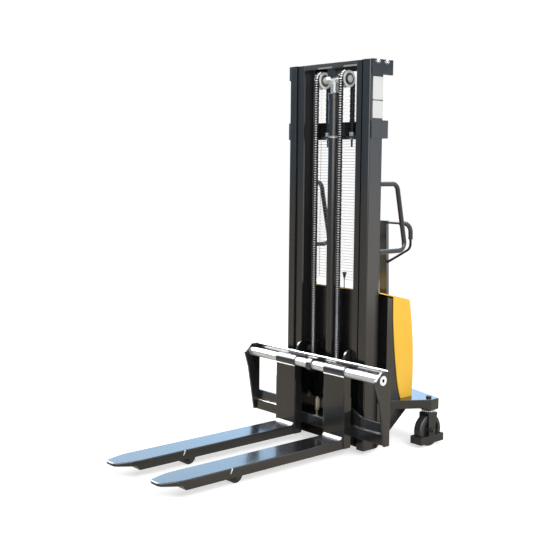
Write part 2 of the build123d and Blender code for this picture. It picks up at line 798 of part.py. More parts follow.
# Shaft support in the middle, a collar on an arm from the upper bar
with BuildPart() as shaft_support:
    support_radius = shaft_radius + support_wall
    rod(support_radius, -support_width / 2, support_width / 2, shaft_y, shaft_height)
    block(-support_width / 2, support_width / 2, shaft_y, bar_front, shaft_height - shaft_radius,
          shaft_height + support_radius)
    rod(shaft_radius + fit_gap, -support_width, support_width, shaft_y, shaft_height, mode=Mode.SUBTRACT)
save(shaft_support, "shaft_support")

# Chain lugs on the cross plate between the uprights
lug_plate_top = chain_lug_top - anchor_head
with BuildPart() as chain_lugs:
    lug_plate_rear = lift_y - barrel_radius - lug_plate_gap
    block(-(upright_x - upright_thick), upright_x - upright_thick, bar_y, lug_plate_rear,
          lug_plate_top - bar_thick, lug_plate_top)
    for s in (-1, 1):
        block(s * chain_offset - chain_outer / 2, s * chain_offset + chain_outer / 2,
              lift_y - chain_radius - chain_thick / 2, lift_y - chain_radius + chain_thick / 2, lug_plate_top,
              chain_lug_top)
save(chain_lugs, "chain_lugs")

# Forks: inverted channel blade with a tapered tip, box shank with doubler plates, and a sleeve on the shaft
sleeve_bore = shaft_radius + sleeve_gap
blade_under = fork_top - blade_thick
skirt_foot = fork_top - skirt_depth
nose_end = tip_y + skirt_start - nose_step
for side, s in sides:
    middle = s * fork_x
    half = fork_width / 2
    blade_outline = [
        (middle - half, shank_rear), (middle - half, tip_y + tip_taper), (middle - tip_half_width, tip_y),
        (middle + tip_half_width, tip_y), (middle + half, tip_y + tip_taper), (middle + half, shank_rear),
    ]
    with BuildPart() as fork:
        with BuildSketch(Plane.XY.offset(skirt_foot)) as blade_shape:
            with BuildLine():
                Polyline(*blade_outline, close=True)
            make_face()
            fillet(blade_shape.vertices().group_by(Axis.Y)[0], tip_round)
            fillet(blade_shape.vertices().group_by(Axis.Y)[-2], tip_shoulder)
        extrude(amount=skirt_depth)
        step = [
            (tip_y, skirt_foot), (tip_y + skirt_start, skirt_foot), (nose_end, fork_top - nose_root),
            (tip_y, fork_top - nose_thick),
        ]
        side_plate(step, middle - half, fork_width, mode=Mode.SUBTRACT)
        top_edges = fork.faces().sort_by(Axis.Z)[-1].edges()
        fillet(top_edges.sort_by(Axis.Y)[:-1], blade_round)
        nose_centre = (middle, (tip_y + nose_end) / 2, fork_top - (nose_thick + nose_root) / 2)
        nose_edges = fork.faces().sort_by_distance(nose_centre)[0].edges()
        fillet(nose_edges.sort_by(Axis.Y)[:-1], nose_round)
        hollow_front = tip_y + skirt_start + blade_skirt
        with BuildSketch(Plane.XY.offset(skirt_foot)):
            add(blade_shape.sketch_local)
            offset(amount=-blade_skirt, kind=Kind.INTERSECTION, mode=Mode.REPLACE)
            with Locations((middle, (hollow_front + shank_rear) / 2)):
                Rectangle(fork_width, shank_rear - hollow_front, mode=Mode.INTERSECT)
        extrude(amount=skirt_depth - blade_thick, mode=Mode.SUBTRACT)
        block(middle - half + blade_skirt, middle + half - blade_skirt, shank_y, shank_rear,
              skirt_foot, blade_under, mode=Mode.SUBTRACT)
        block(middle - half, middle + half, shank_y, shank_y + shank_plate,
              blade_under, shaft_height - shaft_radius / 2)
        heel = [(shank_y, fork_top), (shank_y - heel_weld, fork_top), (shank_y, fork_top + heel_weld)]
        side_plate(heel, middle - half + blade_round, fork_width - 2 * blade_round)
        doubler = [
            (shank_y + doubler_inset, skirt_foot), (shank_rear, skirt_foot),
            (shank_rear, doubler_height - shank_depth + shank_plate), (shank_y + shank_plate, doubler_height),
            (shank_y + doubler_inset, doubler_height),
        ]
        for t in (-1, 1):
            block(middle + t * half, middle + t * (half - shank_cheek), shank_y, shank_rear, skirt_foot,
                  shaft_height - shaft_radius)
            side_plate(doubler, middle + t * half, t * doubler_thick)
        rod(sleeve_bore + sleeve_wall, middle - half, middle + half, shaft_y, shaft_height)
        rod(sleeve_bore, middle - fork_width, middle + fork_width, shaft_y, shaft_height, mode=Mode.SUBTRACT)
    save(fork, side + "_fork")

# Rear panel across the posts' rear faces, standing on the platform
with BuildPart() as rear_panel:
    block(-panel_half_width, panel_half_width, post_rear, panel_y, platform_top, panel_top)
save(rear_panel, "rear_panel")


def cover_top(y):
    """Height of the cover's sloping top at a place along Y."""
    run = mast_y + cover_rear_depth - cover_front
    return cover_front_top - (cover_front_top - cover_rear_top) * (y - cover_front) / run


# Rear cover: a moulded shell, open towards the mast and below, with S-curved side edges
lever_y = mast_y + lever_depth
slope = radians(cover_slope)
button_y = mast_y + button_depth
button_z = cover_top(button_y)
cover_normal = (0, sin(slope), cos(slope))
button_plane = Plane((button_offset, button_y, button_z), x_dir=(1, 0, 0), z_dir=cover_normal)
key_plane = Plane((key_offset, button_y, button_z), x_dir=(1, 0, 0), z_dir=cover_normal)
with BuildPart() as rear_cover:
    with BuildSketch(Plane.YZ.offset(-post_x)) as cover_shape:
        with BuildLine():
            top_line = Line((cover_front, cover_front_top), (mast_y + cover_rear_depth, cover_rear_top))
            rear_line = ThreePointArc(top_line @ 1, (mast_y + cover_bulge_depth, cover_bulge_height),
                                      (mast_y + cover_foot_depth, platform_top))
            Polyline(rear_line @ 1, (cover_front, platform_top), top_line @ 0)
        make_face()
        rear_corner = (mast_y + cover_rear_depth, cover_rear_top, 0)
        fillet(cover_shape.vertices().sort_by_distance(rear_corner)[0], cover_bend)
    extrude(amount=mast_width)
    end_faces = rear_cover.faces().sort_by(Axis.X)
    outer_edges = end_faces[0].edges() + end_faces[-1].edges()
    fillet(outer_edges.filter_by(lambda e: e.center().Z > platform_top + cover_wall
                                 and e.center().Y > cover_front + cover_wall), cover_round)
    front_face = rear_cover.faces().filter_by(Axis.Y).sort_by(Axis.Y)[:1]
    foot_face = rear_cover.faces().sort_by(Axis.Z)[:1]
    offset(amount=-cover_wall, openings=front_face + foot_face)
    edge_top_y = mast_y + cover_edge_top_depth
    with BuildSketch(Plane.YZ.offset(-mast_width)):
        with BuildLine():
            foot = (mast_y + cover_edge_foot_depth, platform_top - cover_lip)
            knee = (mast_y + cover_edge_knee_depth, cover_edge_knee_height)
            lip_start = (edge_top_y, cover_top(edge_top_y) - cover_lip)
            edge = Spline(foot, knee, lip_start, tangents=((-1, 2), (0, 1)))
            Polyline(lip_start, (cover_front - cover_lip, cover_top(cover_front - cover_lip) - cover_lip),
                     (cover_front - cover_lip, platform_top - cover_lip), foot)
        make_face()
    extrude(amount=2 * mast_width, mode=Mode.SUBTRACT)
    block(-lever_slot_width / 2, lever_slot_width / 2,
          lever_y - lever_slot_length / 2, lever_y + lever_slot_length / 2,
          cover_rear_top - cover_lip, cover_front_top, mode=Mode.SUBTRACT)
    with BuildSketch(button_plane.offset(-stem_depth)):
        Circle(button_stem + fit_gap)
    extrude(amount=2 * stem_depth, mode=Mode.SUBTRACT)
    with BuildSketch(key_plane.offset(-stem_depth)):
        Circle(key_stem + fit_gap)
    extrude(amount=2 * stem_depth, mode=Mode.SUBTRACT)
save(rear_cover, "rear_cover")

# Unit frame inside the cover: side plates, a bulkhead across their front and the shelf for the pump set
frame_x = post_x - cover_wall - cover_gap - frame_plate
with BuildPart() as unit_frame:
    y0, y1 = mast_y + frame_front, mast_y + frame_rear
    drop = cover_wall + cover_round
    frame_outline = [
        (y0, platform_top), (y1, platform_top), (y1, cover_top(y1) - drop), (y0, cover_top(y0) - drop),
    ]
    for s in (-1, 1):
        side_plate(frame_outline, s * frame_x, s * frame_plate)
    block(-frame_x, frame_x, y0, y1, shelf_height, shelf_height + shelf_thick)
    block(-frame_x, frame_x, y0, y0 + bulkhead_thick, platform_top, cover_top(y0) - drop)
save(unit_frame, "unit_frame")

# Battery on the platform, oil tank and pump motor on the shelf
shelf_top = shelf_height + shelf_thick
with BuildPart() as battery:
    battery_y = mast_y + frame_front + pack_inset
    block(-battery_length / 2, battery_length / 2, battery_y, battery_y + battery_width, platform_top,
          platform_top + battery_height)
    fillet(battery.edges().filter_by(Axis.Z), pack_round)
    for s in (-1, 1):
        post(post_terminal, s * terminal_offset, battery_y + terminal_inset, platform_top + battery_height,
             platform_top + battery_height + post_terminal)
save(battery, "battery")

with BuildPart() as oil_tank:
    tank_x = -frame_x + pack_inset
    tank_y = mast_y + frame_front + bulkhead_thick + side_play
    block(tank_x, tank_x + tank_length, tank_y, tank_y + tank_width, shelf_top, shelf_top + tank_height)
    fillet(oil_tank.edges().filter_by(Axis.Z), pack_round)
    post(filler_cap, tank_x + tank_length / 2, tank_y + tank_width / 2, shelf_top + tank_height,
         shelf_top + tank_height + filler_cap)
save(oil_tank, "oil_tank")

with BuildPart() as pump_motor:
    motor_y = mast_y + (frame_front + frame_rear) / 2
    post(motor_radius, motor_offset, motor_y, shelf_top, shelf_top + motor_height)
    chamfer(pump_motor.edges().filter_by(GeomType.CIRCLE).sort_by(Axis.Z)[-1], motor_chamfer)
    block(motor_offset - motor_radius, motor_offset + motor_radius,
          motor_y - motor_radius, motor_y + motor_radius, shelf_top, shelf_top + motor_foot)
save(pump_motor, "pump_motor")

# Valve block on the rear panel with the clevis of the control lever
lever_z = valve_foot + valve_height - lever_hub_radius
lever_slot_half = lever_hub_width / 2 + roller_gap
with BuildPart() as valve_block:
    block(-valve_width / 2, valve_width / 2, panel_y, panel_y + valve_depth,
          valve_foot, valve_foot + valve_height)
    block(-lever_slot_half, lever_slot_half, lever_y - 2 * lever_hub_radius, panel_y + valve_depth,
          lever_z - 2 * lever_hub_radius, valve_foot + valve_height, mode=Mode.SUBTRACT)
    rod(lever_stick_radius, -lever_slot_half, lever_slot_half, lever_y, lever_z)
save(valve_block, "valve_block")

# Control lever with its tapered knob
lever_top = lever_z + lever_length
with BuildPart() as control_lever:
    rod(lever_hub_radius, -lever_hub_width / 2, lever_hub_width / 2, lever_y, lever_z)
    post(lever_stick_radius, 0, lever_y, lever_z, lever_top)
    rod(lever_stick_radius + fit_gap, -lever_hub_width, lever_hub_width, lever_y, lever_z, mode=Mode.SUBTRACT)
save(control_lever, "control_lever")

with BuildPart() as lever_knob:
    with Locations((0, lever_y, lever_top + knob_height / 2)):
        Cone(lever_stick_radius + roller_gap, knob_radius, knob_height)
    chamfer(lever_knob.edges().filter_by(GeomType.CIRCLE).sort_by(Axis.Z)[-1], knob_bevel)
save(lever_knob, "lever_knob")

# Emergency stop button and start key on the cover's top
with BuildPart() as emergency_stop:
    with BuildSketch(button_plane.offset(-stem_depth)):
        Circle(button_stem)
    extrude(amount=stem_depth + button_travel + roller_gap)
    with BuildSketch(button_plane.offset(button_travel + roller_gap)):
        Circle(button_radius)
    extrude(amount=button_height)
    chamfer(emergency_stop.edges().filter_by(GeomType.CIRCLE).sort_by(Axis.Z)[-1], button_bevel)
save(emergency_stop, "emergency_stop")

with BuildPart() as start_key:
    with BuildSketch(key_plane.offset(-stem_depth)):
        Circle(key_stem)
    extrude(amount=stem_depth + roller_gap)
    with BuildSketch(key_plane.offset(roller_gap)):
        Circle(key_radius)
    extrude(amount=key_collar)
    with BuildSketch(key_plane.offset(roller_gap + key_collar)):
        Rectangle(key_radius * 2, key_collar)
    extrude(amount=key_height)
save(start_key, "start_key")

# Mesh guard: one holed sheet below the chain cross-member and one above it
mesh_panels = (
    (lower_mesh_foot, chain_beam_foot - mesh_clearance),
    (chain_beam_top + mesh_clearance, mast_height - top_cheek_height),
)
hole = wire_pitch - wire
edge_hole = channel_x - wire_span - wire / 2
with BuildPart() as mesh_guard:
    for z0, z1 in mesh_panels:
        rows = int((z1 - z0 - wire) / wire_pitch)
        mid_z = (z0 + z1) / 2
        with BuildSketch(Plane.XZ.offset(-post_rear)):
            with Locations((0, mid_z)):
                Rectangle(2 * mesh_half_width, rows * wire_pitch + wire)
                with GridLocations(wire_span, wire_pitch, 2, rows):
                    Rectangle(wire_span - wire, hole, mode=Mode.SUBTRACT)
                with GridLocations(2 * channel_x - edge_hole, wire_pitch, 2, rows):
                    Rectangle(edge_hole, hole, mode=Mode.SUBTRACT)
        extrude(amount=-wire)
save(mesh_guard, "mesh_guard")

# Push handles: bent tube from the rear of each post
for side, s in sides:
    with BuildPart() as handle:
        with BuildLine(Plane.YZ.offset(s * handle_offset)) as handle_line:
            FilletPolyline((post_rear, handle_top), (post_rear + handle_top_reach, handle_top),
                           (post_rear + handle_foot_reach, handle_foot), (post_rear, handle_foot),
                           radius=handle_bend)
        with BuildSketch(Plane(handle_line.line @ 0, z_dir=handle_line.line % 0)):
            Circle(handle_tube)
        sweep()
    save(handle, side + "_handle")

# Tiller bracket on the platform, with ears and pin
tiller_y = mast_y + tiller_depth
ear_inside = tiller_arm_width / 2 + roller_gap
ear_outside = ear_inside + tiller_ear
with BuildPart() as tiller_bracket:
    block(-ear_outside - tiller_ear, ear_outside + tiller_ear, tiller_y - tiller_hub_radius - tiller_plate,
          tiller_y + tiller_hub_radius + tiller_plate, platform_top, platform_top + tiller_plate)
    for s in (-1, 1):
        block(s * ear_inside, s * ear_outside, tiller_y - tiller_hub_radius, tiller_y + tiller_hub_radius,
              platform_top + tiller_plate, tiller_pivot)
        rod(tiller_hub_radius, s * ear_inside, s * ear_outside, tiller_y, tiller_pivot)
    rod(tiller_pin_radius, -ear_outside, ear_outside, tiller_y, tiller_pivot)
save(tiller_bracket, "tiller_bracket")

# Tiller: folded channel arm on a hub, with a looped rod on each side of its head
lean = radians(tiller_lean)
tiller_plane = Plane((0, tiller_y, tiller_pivot), x_dir=(1, 0, 0), z_dir=(0, -cos(lean), -sin(lean)))
rod_seat = tiller_arm_width / 2 - loop_rod / 2
arm_top = tiller_length + loop_rod + tiller_crown
with BuildPart() as tiller:
    rod(tiller_hub_radius, -tiller_arm_width / 2, tiller_arm_width / 2, tiller_y, tiller_pivot)
    with BuildSketch(tiller_plane):
        with Locations((0, arm_top / 2)):
            Rectangle(tiller_arm_width, arm_top)
    extrude(amount=tiller_arm_thick / 2, both=True)
    with BuildSketch(tiller_plane.offset(-tiller_arm_thick / 2)):
        with Locations((0, arm_top / 2)):
            Rectangle(tiller_arm_width - 2 * tiller_lip, arm_top - 2 * tiller_recess_end)
    extrude(amount=tiller_recess, mode=Mode.SUBTRACT)
    for s in (-1, 1):
        with BuildLine(tiller_plane) as loop_line:
            FilletPolyline((s * rod_seat, tiller_length), (s * loop_half_width, tiller_length),
                           (s * loop_half_width, tiller_length - loop_knee_drop),
                           (s * rod_seat, tiller_length - loop_leg_drop), radius=loop_bend)
        with BuildSketch(Plane(loop_line.line @ 0, z_dir=loop_line.line % 0)):
            Circle(loop_rod)
        sweep()
    rod(tiller_pin_radius + fit_gap, -tiller_arm_width, tiller_arm_width, tiller_y, tiller_pivot,
        mode=Mode.SUBTRACT)
save(tiller, "tiller")

# Grips moulded over the loops' outer corners
with BuildPart() as tiller_grips:
    for s in (-1, 1):
        with BuildLine(tiller_plane) as grip_line:
            FilletPolyline((s * grip_start, tiller_length), (s * loop_half_width, tiller_length),
                           (s * loop_half_width, tiller_length - grip_drop), radius=loop_bend)
        with BuildSketch(Plane(grip_line.line @ 0, z_dir=grip_line.line % 0)):
            Circle(grip_radius)
            Circle(loop_rod + fit_gap, mode=Mode.SUBTRACT)
        sweep()
save(tiller_grips, "tiller_grips")
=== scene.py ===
"""Semi-electric stacker in a plain studio.

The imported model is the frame. Each section below dresses one piece or group of pieces, in the order in
which the truck is put together: mast, legs, platform, casters, lift, carriage, forks, power pack, guard
and tiller. All sizes are in metres, in the frame of the model: X across, Y towards the tiller, Z up.
"""
from math import cos, pi, radians, sin

import bmesh
import bpy
from mathutils import Matrix, Vector


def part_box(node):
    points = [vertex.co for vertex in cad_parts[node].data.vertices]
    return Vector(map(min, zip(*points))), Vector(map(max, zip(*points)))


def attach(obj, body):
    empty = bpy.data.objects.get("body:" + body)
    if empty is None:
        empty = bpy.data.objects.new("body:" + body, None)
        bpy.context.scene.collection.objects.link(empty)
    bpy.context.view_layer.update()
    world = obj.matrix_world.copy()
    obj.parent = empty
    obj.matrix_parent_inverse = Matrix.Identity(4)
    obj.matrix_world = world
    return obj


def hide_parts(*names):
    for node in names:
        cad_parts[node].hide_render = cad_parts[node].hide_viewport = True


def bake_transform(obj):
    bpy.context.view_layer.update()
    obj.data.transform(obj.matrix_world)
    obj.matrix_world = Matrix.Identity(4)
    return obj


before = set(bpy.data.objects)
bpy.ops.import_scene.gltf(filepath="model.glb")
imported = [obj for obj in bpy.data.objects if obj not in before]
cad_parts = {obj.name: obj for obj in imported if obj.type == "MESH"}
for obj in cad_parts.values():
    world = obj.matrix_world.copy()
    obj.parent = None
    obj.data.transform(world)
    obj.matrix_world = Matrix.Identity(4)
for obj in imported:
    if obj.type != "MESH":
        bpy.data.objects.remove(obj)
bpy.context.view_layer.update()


# Floor and backdrop: a plain pale sheet of paper that lies flat and keeps the truck's shadow. What the
# camera sees of it is lifted to white without lighting the truck any more, and in gloss it is a darker,
# warmer ground.
class Wire:
    """A socket of a node tree. Arithmetic on it adds Math nodes, and node() adds any other node."""

    def __init__(self, tree, socket=None):
        self.tree = tree
        self.socket = socket

    def node(self, kind, settings=None, sockets=None, output=0):
        """An output of a new node, whose settings are set before its sockets get their values or links."""
        made = self.tree.nodes.new(kind)
        for name, value in (settings or {}).items():
            setattr(made, name, value)
        for name, value in (sockets or {}).items():
            if isinstance(value, Wire):
                self.tree.links.new(value.socket, made.inputs[name])
            else:
                made.inputs[name].default_value = value
        return Wire(self.tree, made.outputs[output]) if len(made.outputs) else None

    def value(self, operation, first, second):
        """The result of a Math node."""
        return self.node("ShaderNodeMath", {"operation": operation}, {0: first, 1: second})

    def __add__(self, other):
        return self.value("ADD", self, other)

    def __radd__(self, other):
        return self.value("ADD", other, self)

    def __sub__(self, other):
        return self.value("SUBTRACT", self, other)

    def __rsub__(self, other):
        return self.value("SUBTRACT", other, self)

    def __mul__(self, other):
        return self.value("MULTIPLY", self, other)

    def __rmul__(self, other):
        return self.value("MULTIPLY", other, self)

    def __pow__(self, other):
        return self.value("POWER", self, other)

    def __gt__(self, other):
        return self.value("GREATER_THAN", self, other)

    def __lt__(self, other):
        return self.value("LESS_THAN", self, other)


def new_material(name):
    """An empty material and the wire that its nodes start from."""
    material = bpy.data.materials.new(name)
    material.use_nodes = True
    material.node_tree.nodes.clear()
    return material, Wire(material.node_tree)


def blend_colours(net, factor, first, second):
    """A colour between two others."""
    return net.node("ShaderNodeMix", {"data_type": "RGBA"}, {0: factor, 6: first, 7: second}, 2)


def speckle(net, place, scale, detail):
    """Noise from 0 to 1 at a place."""
    return net.node("ShaderNodeTexNoise", {}, {"Vector": place, "Scale": scale, "Detail": detail})


floor_half = 40.0
paper_dim = (0.8, 0.8, 0.8, 1)
paper_pale = (0.82, 0.82, 0.82, 1)
paper_in_gloss = (0.5, 0.44, 0.34, 1)
no_lift = (0, 0, 0, 1)
lift_for_camera = (0.6, 0.6, 0.6, 1)
lift_in_gloss = (0.33, 0.305, 0.26, 1)
floor_mesh = bpy.data.meshes.new("studio_floor")
floor_corners = [(x * floor_half, y * floor_half, 0) for x, y in ((-1, -1), (1, -1), (1, 1), (-1, 1))]
floor_mesh.from_pydata(floor_corners, [], [(0, 1, 2, 3)])
floor = bpy.data.objects.new("studio_floor", floor_mesh)
bpy.context.scene.collection.objects.link(floor)
paper, net = new_material("studio_paper")
place = net.node("ShaderNodeTexCoord", output="Object")
seen = net.node("ShaderNodeLightPath", output="Is Camera Ray")
mirrored = net.node("ShaderNodeLightPath", output="Is Glossy Ray")
paper_colour = blend_colours(net, speckle(net, place, scale=3.0, detail=3.0), paper_dim, paper_pale)
paper_colour = blend_colours(net, mirrored, paper_colour, paper_in_gloss)
paper_matte = net.node("ShaderNodeBsdfDiffuse", {}, {"Color": paper_colour})
paper_lift = blend_colours(net, seen, no_lift, lift_for_camera)
paper_lift = blend_colours(net, mirrored, paper_lift, lift_in_gloss)
paper_glow = net.node("ShaderNodeEmission", {}, {"Color": paper_lift})
paper_shader = net.node("ShaderNodeAddShader", {}, {0: paper_matte, 1: paper_glow})
net.node("ShaderNodeOutputMaterial", {}, {"Surface": paper_shader})
floor_mesh.materials.append(paper)


# Studio light: an even white room with a broad soft lamp over the right side and weaker ones to the left and
# behind. What the gloss mirrors is an open sky: dim ahead, blue and bright behind the truck's left side,
# white high on the left, and pale towards the right front.
def axes(net, place):
    """The three coordinates of a place."""
    split = net.node("ShaderNodeSeparateXYZ", {}, {0: place})
    return [Wire(net.tree, output) for output in split.socket.node.outputs]


world = bpy.data.worlds.new("studio_room")
bpy.context.scene.world = world
world.use_nodes = True
world.node_tree.nodes.clear()
net = Wire(world.node_tree)
seen = net.node("ShaderNodeLightPath", output="Is Camera Ray")
mirrored = net.node("ShaderNodeLightPath", output="Is Glossy Ray")
direction = net.node("ShaderNodeTexCoord", output="Generated")
height = axes(net, direction)[2]
rise = net.value("MINIMUM", 2.0 * height * height, 1.0)


def sky_patch(aim, sharpness):
    """How far a direction lies inside a bright patch of the sky."""
    facing = net.node("ShaderNodeVectorMath", {"operation": "DOT_PRODUCT"}, {0: direction, 1: aim}, "Value")
    return net.value("MAXIMUM", sharpness * facing - (sharpness - 1.0), 0.0)


sky_ahead = (0.3, 0.42, 0.55, 1)
sky_overhead = (2.0, 2.2, 2.4, 1)
sky_left_rear = (1.5, 2.25, 3.1, 1)
sky_high_left = (24.0, 24.0, 24.0, 1)
sky_right_front = (4.0, 4.0, 4.0, 1)
room_colour = (1, 1, 1, 1)
left_rear = sky_patch(aim=(-0.76, 0.65, 0), sharpness=2.5) * (1.0 - rise)
high_left = sky_patch(aim=(-0.76, -0.1, 0.645), sharpness=6.0)
right_front = sky_patch(aim=(0.7, -0.7, 0.1), sharpness=4.0)
sky = blend_colours(net, rise, sky_ahead, sky_overhead)
sky = blend_colours(net, left_rear, sky, sky_left_rear)
sky = blend_colours(net, high_left, sky, sky_high_left)
sky = blend_colours(net, right_front, sky, sky_right_front)
room_light = net.node("ShaderNodeBackground", {}, {"Color": room_colour, "Strength": 0.5})
room_gloss = net.node("ShaderNodeBackground", {}, {"Color": sky, "Strength": 1.0})
room_white = net.node("ShaderNodeBackground", {}, {"Color": room_colour, "Strength": 1.0})
room = net.node("ShaderNodeMixShader", {}, {0: mirrored, 1: room_light, 2: room_gloss})
room = net.node("ShaderNodeMixShader", {}, {0: seen, 1: room, 2: room_white})
net.node("ShaderNodeOutputWorld", {}, {"Surface": room})
truck_middle = Vector((0, 0.3, 1.0))


def soft_lamp(name, place, size, power):
    """A square softbox that faces the truck."""
    lamp = bpy.data.lights.new(name, "AREA")
    lamp.size = size
    lamp.energy = power
    box = bpy.data.objects.new(name, lamp)
    bpy.context.scene.collection.objects.link(box)
    box.location = place
    box.rotation_euler = (truck_middle - Vector(place)).to_track_quat("-Z", "Y").to_euler()


soft_lamp("key_softbox", place=(5.2, -1.2, 4.4), size=3.0, power=260.0)
soft_lamp("fill_softbox", place=(-4.2, 0.6, 4.2), size=3.0, power=60.0)
soft_lamp("side_softbox", place=(4.3, 4.0, 0.9), size=3.2, power=31.0)

# Camera: a long lens at chest height, turned to the right front of the truck, with the slight roll and
# off-centre framing of the photograph. Its place and aim come from a fit of the truck's edges.
camera_place = Vector((3.6933, -3.3078, 1.5210))
camera_turn = radians(49.57)
camera_drop = radians(5.63)
camera_roll = radians(0.43)
frame_pixels = 550.0
lens_pixels = 957.1
axis_pixel_x = 252.57
axis_pixel_y = 261.37
camera_data = bpy.data.cameras.new("photo_camera")
camera = bpy.data.objects.new("photo_camera", camera_data)
bpy.context.scene.collection.objects.link(camera)
bpy.context.scene.camera = camera
camera_data.sensor_width = 36.0
camera_data.lens = lens_pixels * camera_data.sensor_width / frame_pixels
camera_data.shift_x = 0.5 - axis_pixel_x / frame_pixels
camera_data.shift_y = axis_pixel_y / frame_pixels - 0.5
camera_data.clip_end = 100.0
ahead = Vector((-sin(camera_turn) * cos(camera_drop), cos(camera_turn) * cos(camera_drop),
                -sin(camera_drop)))
level = Vector((cos(camera_turn), sin(camera_turn), 0))
upward = level.cross(ahead)
right = cos(camera_roll) * level + sin(camera_roll) * upward
top = cos(camera_roll) * upward - sin(camera_roll) * level
camera_turned = Matrix((right, top, -ahead)).transposed().to_4x4()
camera.matrix_world = Matrix.Translation(camera_place) @ camera_turned
bpy.context.scene.view_settings.view_transform = "Standard"


# Outer mast cross-members: flat and folded bars with cheek plates, welded across the posts, under gloss
# black enamel. The coat has a fine orange peel, streaks along the rolled steel, and soft edges where it runs
# over the corners.
def paint(material, *names):
    """Gives CAD pieces a material."""
    for name in names:
        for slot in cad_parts[name].material_slots:
            slot.material = material


enamel_dark = (0.009, 0.009, 0.010, 1)
enamel_pale = (0.017, 0.017, 0.019, 1)
enamel_dust = (0.12, 0.115, 0.105, 1)
# A matt black film that is painted on as shade.
painted_shade_black = (0.006, 0.006, 0.006, 1)
# Pale metal that is painted on as a highlight.
highlight_steel = (0.9, 0.9, 0.89, 1)


def gloss_enamel(name, roughness, coat, corner, streaks, cover=None, cover_colour=painted_shade_black, highlight_mask=None):
    """Sprayed black enamel with round corners and streaks, and perhaps a matt cover of painted shade or
    painted highlight, or pale steel painted on as a highlight.
    """
    material, net = new_material(name)
    place = net.node("ShaderNodeTexCoord", output="Object")
    stretched = net.node("ShaderNodeMapping", {}, {"Vector": place, "Scale": streaks})
    clouds = speckle(net, stretched, scale=1.0, detail=4.0)
    grit = speckle(net, place, scale=160.0, detail=2.0)
    peel = speckle(net, place, scale=420.0, detail=2.0)
    dust = (grit * clouds) ** 3.0
    colour = blend_colours(net, clouds, enamel_dark, enamel_pale)
    colour = blend_colours(net, dust, colour, enamel_dust)
    highlight_share = 0.0
    if highlight_mask:
        highlight_share = highlight_mask(net, place)
        colour = blend_colours(net, highlight_share, colour, highlight_steel)
    edge = net.node("ShaderNodeBevel", {"samples": 4}, {"Radius": corner})
    normal = net.node("ShaderNodeBump", {}, {
        "Strength": 0.03, "Distance": 0.0005, "Height": peel, "Normal": edge})
    shader = net.node("ShaderNodeBsdfPrincipled", {}, {
        "Base Color": colour, "Metallic": highlight_share, "Roughness": roughness + 0.05 * clouds, "Normal": normal,
        "Coat Weight": coat, "Coat Roughness": 0.5 * roughness})
    if cover:
        film = net.node("ShaderNodeBsdfDiffuse", {}, {"Color": cover_colour})
        shader = net.node("ShaderNodeMixShader", {}, {0: cover(net, place), 1: shader, 2: film})
    net.node("ShaderNodeOutputMaterial", {}, {"Surface": shader})
    return material


rolled_finish = {"roughness": 0.2, "coat": 0.4, "corner": 0.003, "streaks": (30.0, 30.0, 0.8)}
rolled_enamel = gloss_enamel("rolled_steel_enamel", **rolled_finish)
paint(rolled_enamel, "mast_crossmembers", "crossmember_cheeks")

# Outer mast posts: rolled channels, one on each side of the truck, under the same enamel. Along their rear
# edges, beside the power pack, shade is painted on as a dark film that fades out towards the front.
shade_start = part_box("right_post")[1].y - 0.043
shade_reach = 0.036
shade_head = 0.885
shade_fade = 0.04
shade_most = 0.9


def limited(net, wire):
    """A value held between 0 and 1."""
    return net.value("MINIMUM", net.value("MAXIMUM", wire, 0.0), 1.0)


def joint_shade(net, place):
    """How dark the painted shade is beside the power pack."""
    depth, height = axes(net, place)[1:]
    behind = limited(net, (depth - shade_start) * (1 / shade_reach))
    below = limited(net, (shade_head - height) * (1 / shade_fade))
    return behind * below * shade_most


post_enamel = gloss_enamel("post_enamel", cover=joint_shade, **rolled_finish)
paint(post_enamel, "left_post", "right_post")

# Inner mast posts: the same rolled steel and enamel. Beside the outer posts' front flanges, a narrow dark
# band is painted along their front faces as the shade of the flanges' edges.
flange_edge = 0.252
left_shade_width = 0.004
right_shade_width = 0.0185


def flange_shade(net, place):
    """Where the painted shade lies: close to the edges of the outer posts' flanges."""
    across = axes(net, place)[0]
    on_left = (across > -flange_edge) * (across < left_shade_width - flange_edge)
    on_right = (across > flange_edge - right_shade_width) * (across < flange_edge)
    return on_left + on_right


inner_enamel = gloss_enamel("inner_post_enamel", cover=flange_shade, **rolled_finish)
paint(inner_enamel, "left_inner_post", "right_inner_post")


# Base beam and gussets: an enamelled bar across the foot of the mast, and plates welded between the posts'
# feet and the platform. Deep inside the truck they are painted darker, as shade, more in some places than in
# others.
def painted_shade_inside(limit):
    """A film of painted shade on whatever lies within a distance of the truck's middle."""
    def film(net, place):
        across = axes(net, place)[0]
        # How dark the painted shade is, patchy from place to place.
        thickness = 0.6 + 0.4 * speckle(net, place, scale=25.0, detail=3.0)
        return (net.value("ABSOLUTE", across, 0.0) < limit) * thickness
    return film


skin = 0.0005
mast_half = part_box("right_post")[1].x
gusset_sheet = 0.008
even_streaks = (6.0, 6.0, 6.0)
dull_finish = {"roughness": 0.35, "coat": 0.0, "corner": 0.003, "streaks": even_streaks}
dull_enamel = gloss_enamel("dull_bar_enamel", cover=painted_shade_inside(mast_half), **dull_finish)
paint(dull_enamel, "base_beam")
gusset_enamel = gloss_enamel("gusset_enamel", roughness=0.2, coat=0.4, corner=0.004, streaks=even_streaks,
                             cover=painted_shade_inside(mast_half - gusset_sheet + skin))
paint(gusset_enamel, "chassis_gussets")

# Inner cross-bars: flat bars with the same dull enamel, welded between the inner posts. The upper one, the
# head bar, has two narrow pale strips along its front, painted on as highlights.
strip_foot = 2.0495
strip_head = 2.0580
left_strip = (-0.090, 0.015)
right_strip = (0.100, 0.200)
# Pale grey that is painted on as a highlight.
painted_highlight_grey = (0.4, 0.4, 0.39, 1)
bar_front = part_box("inner_crossbars")[0].y


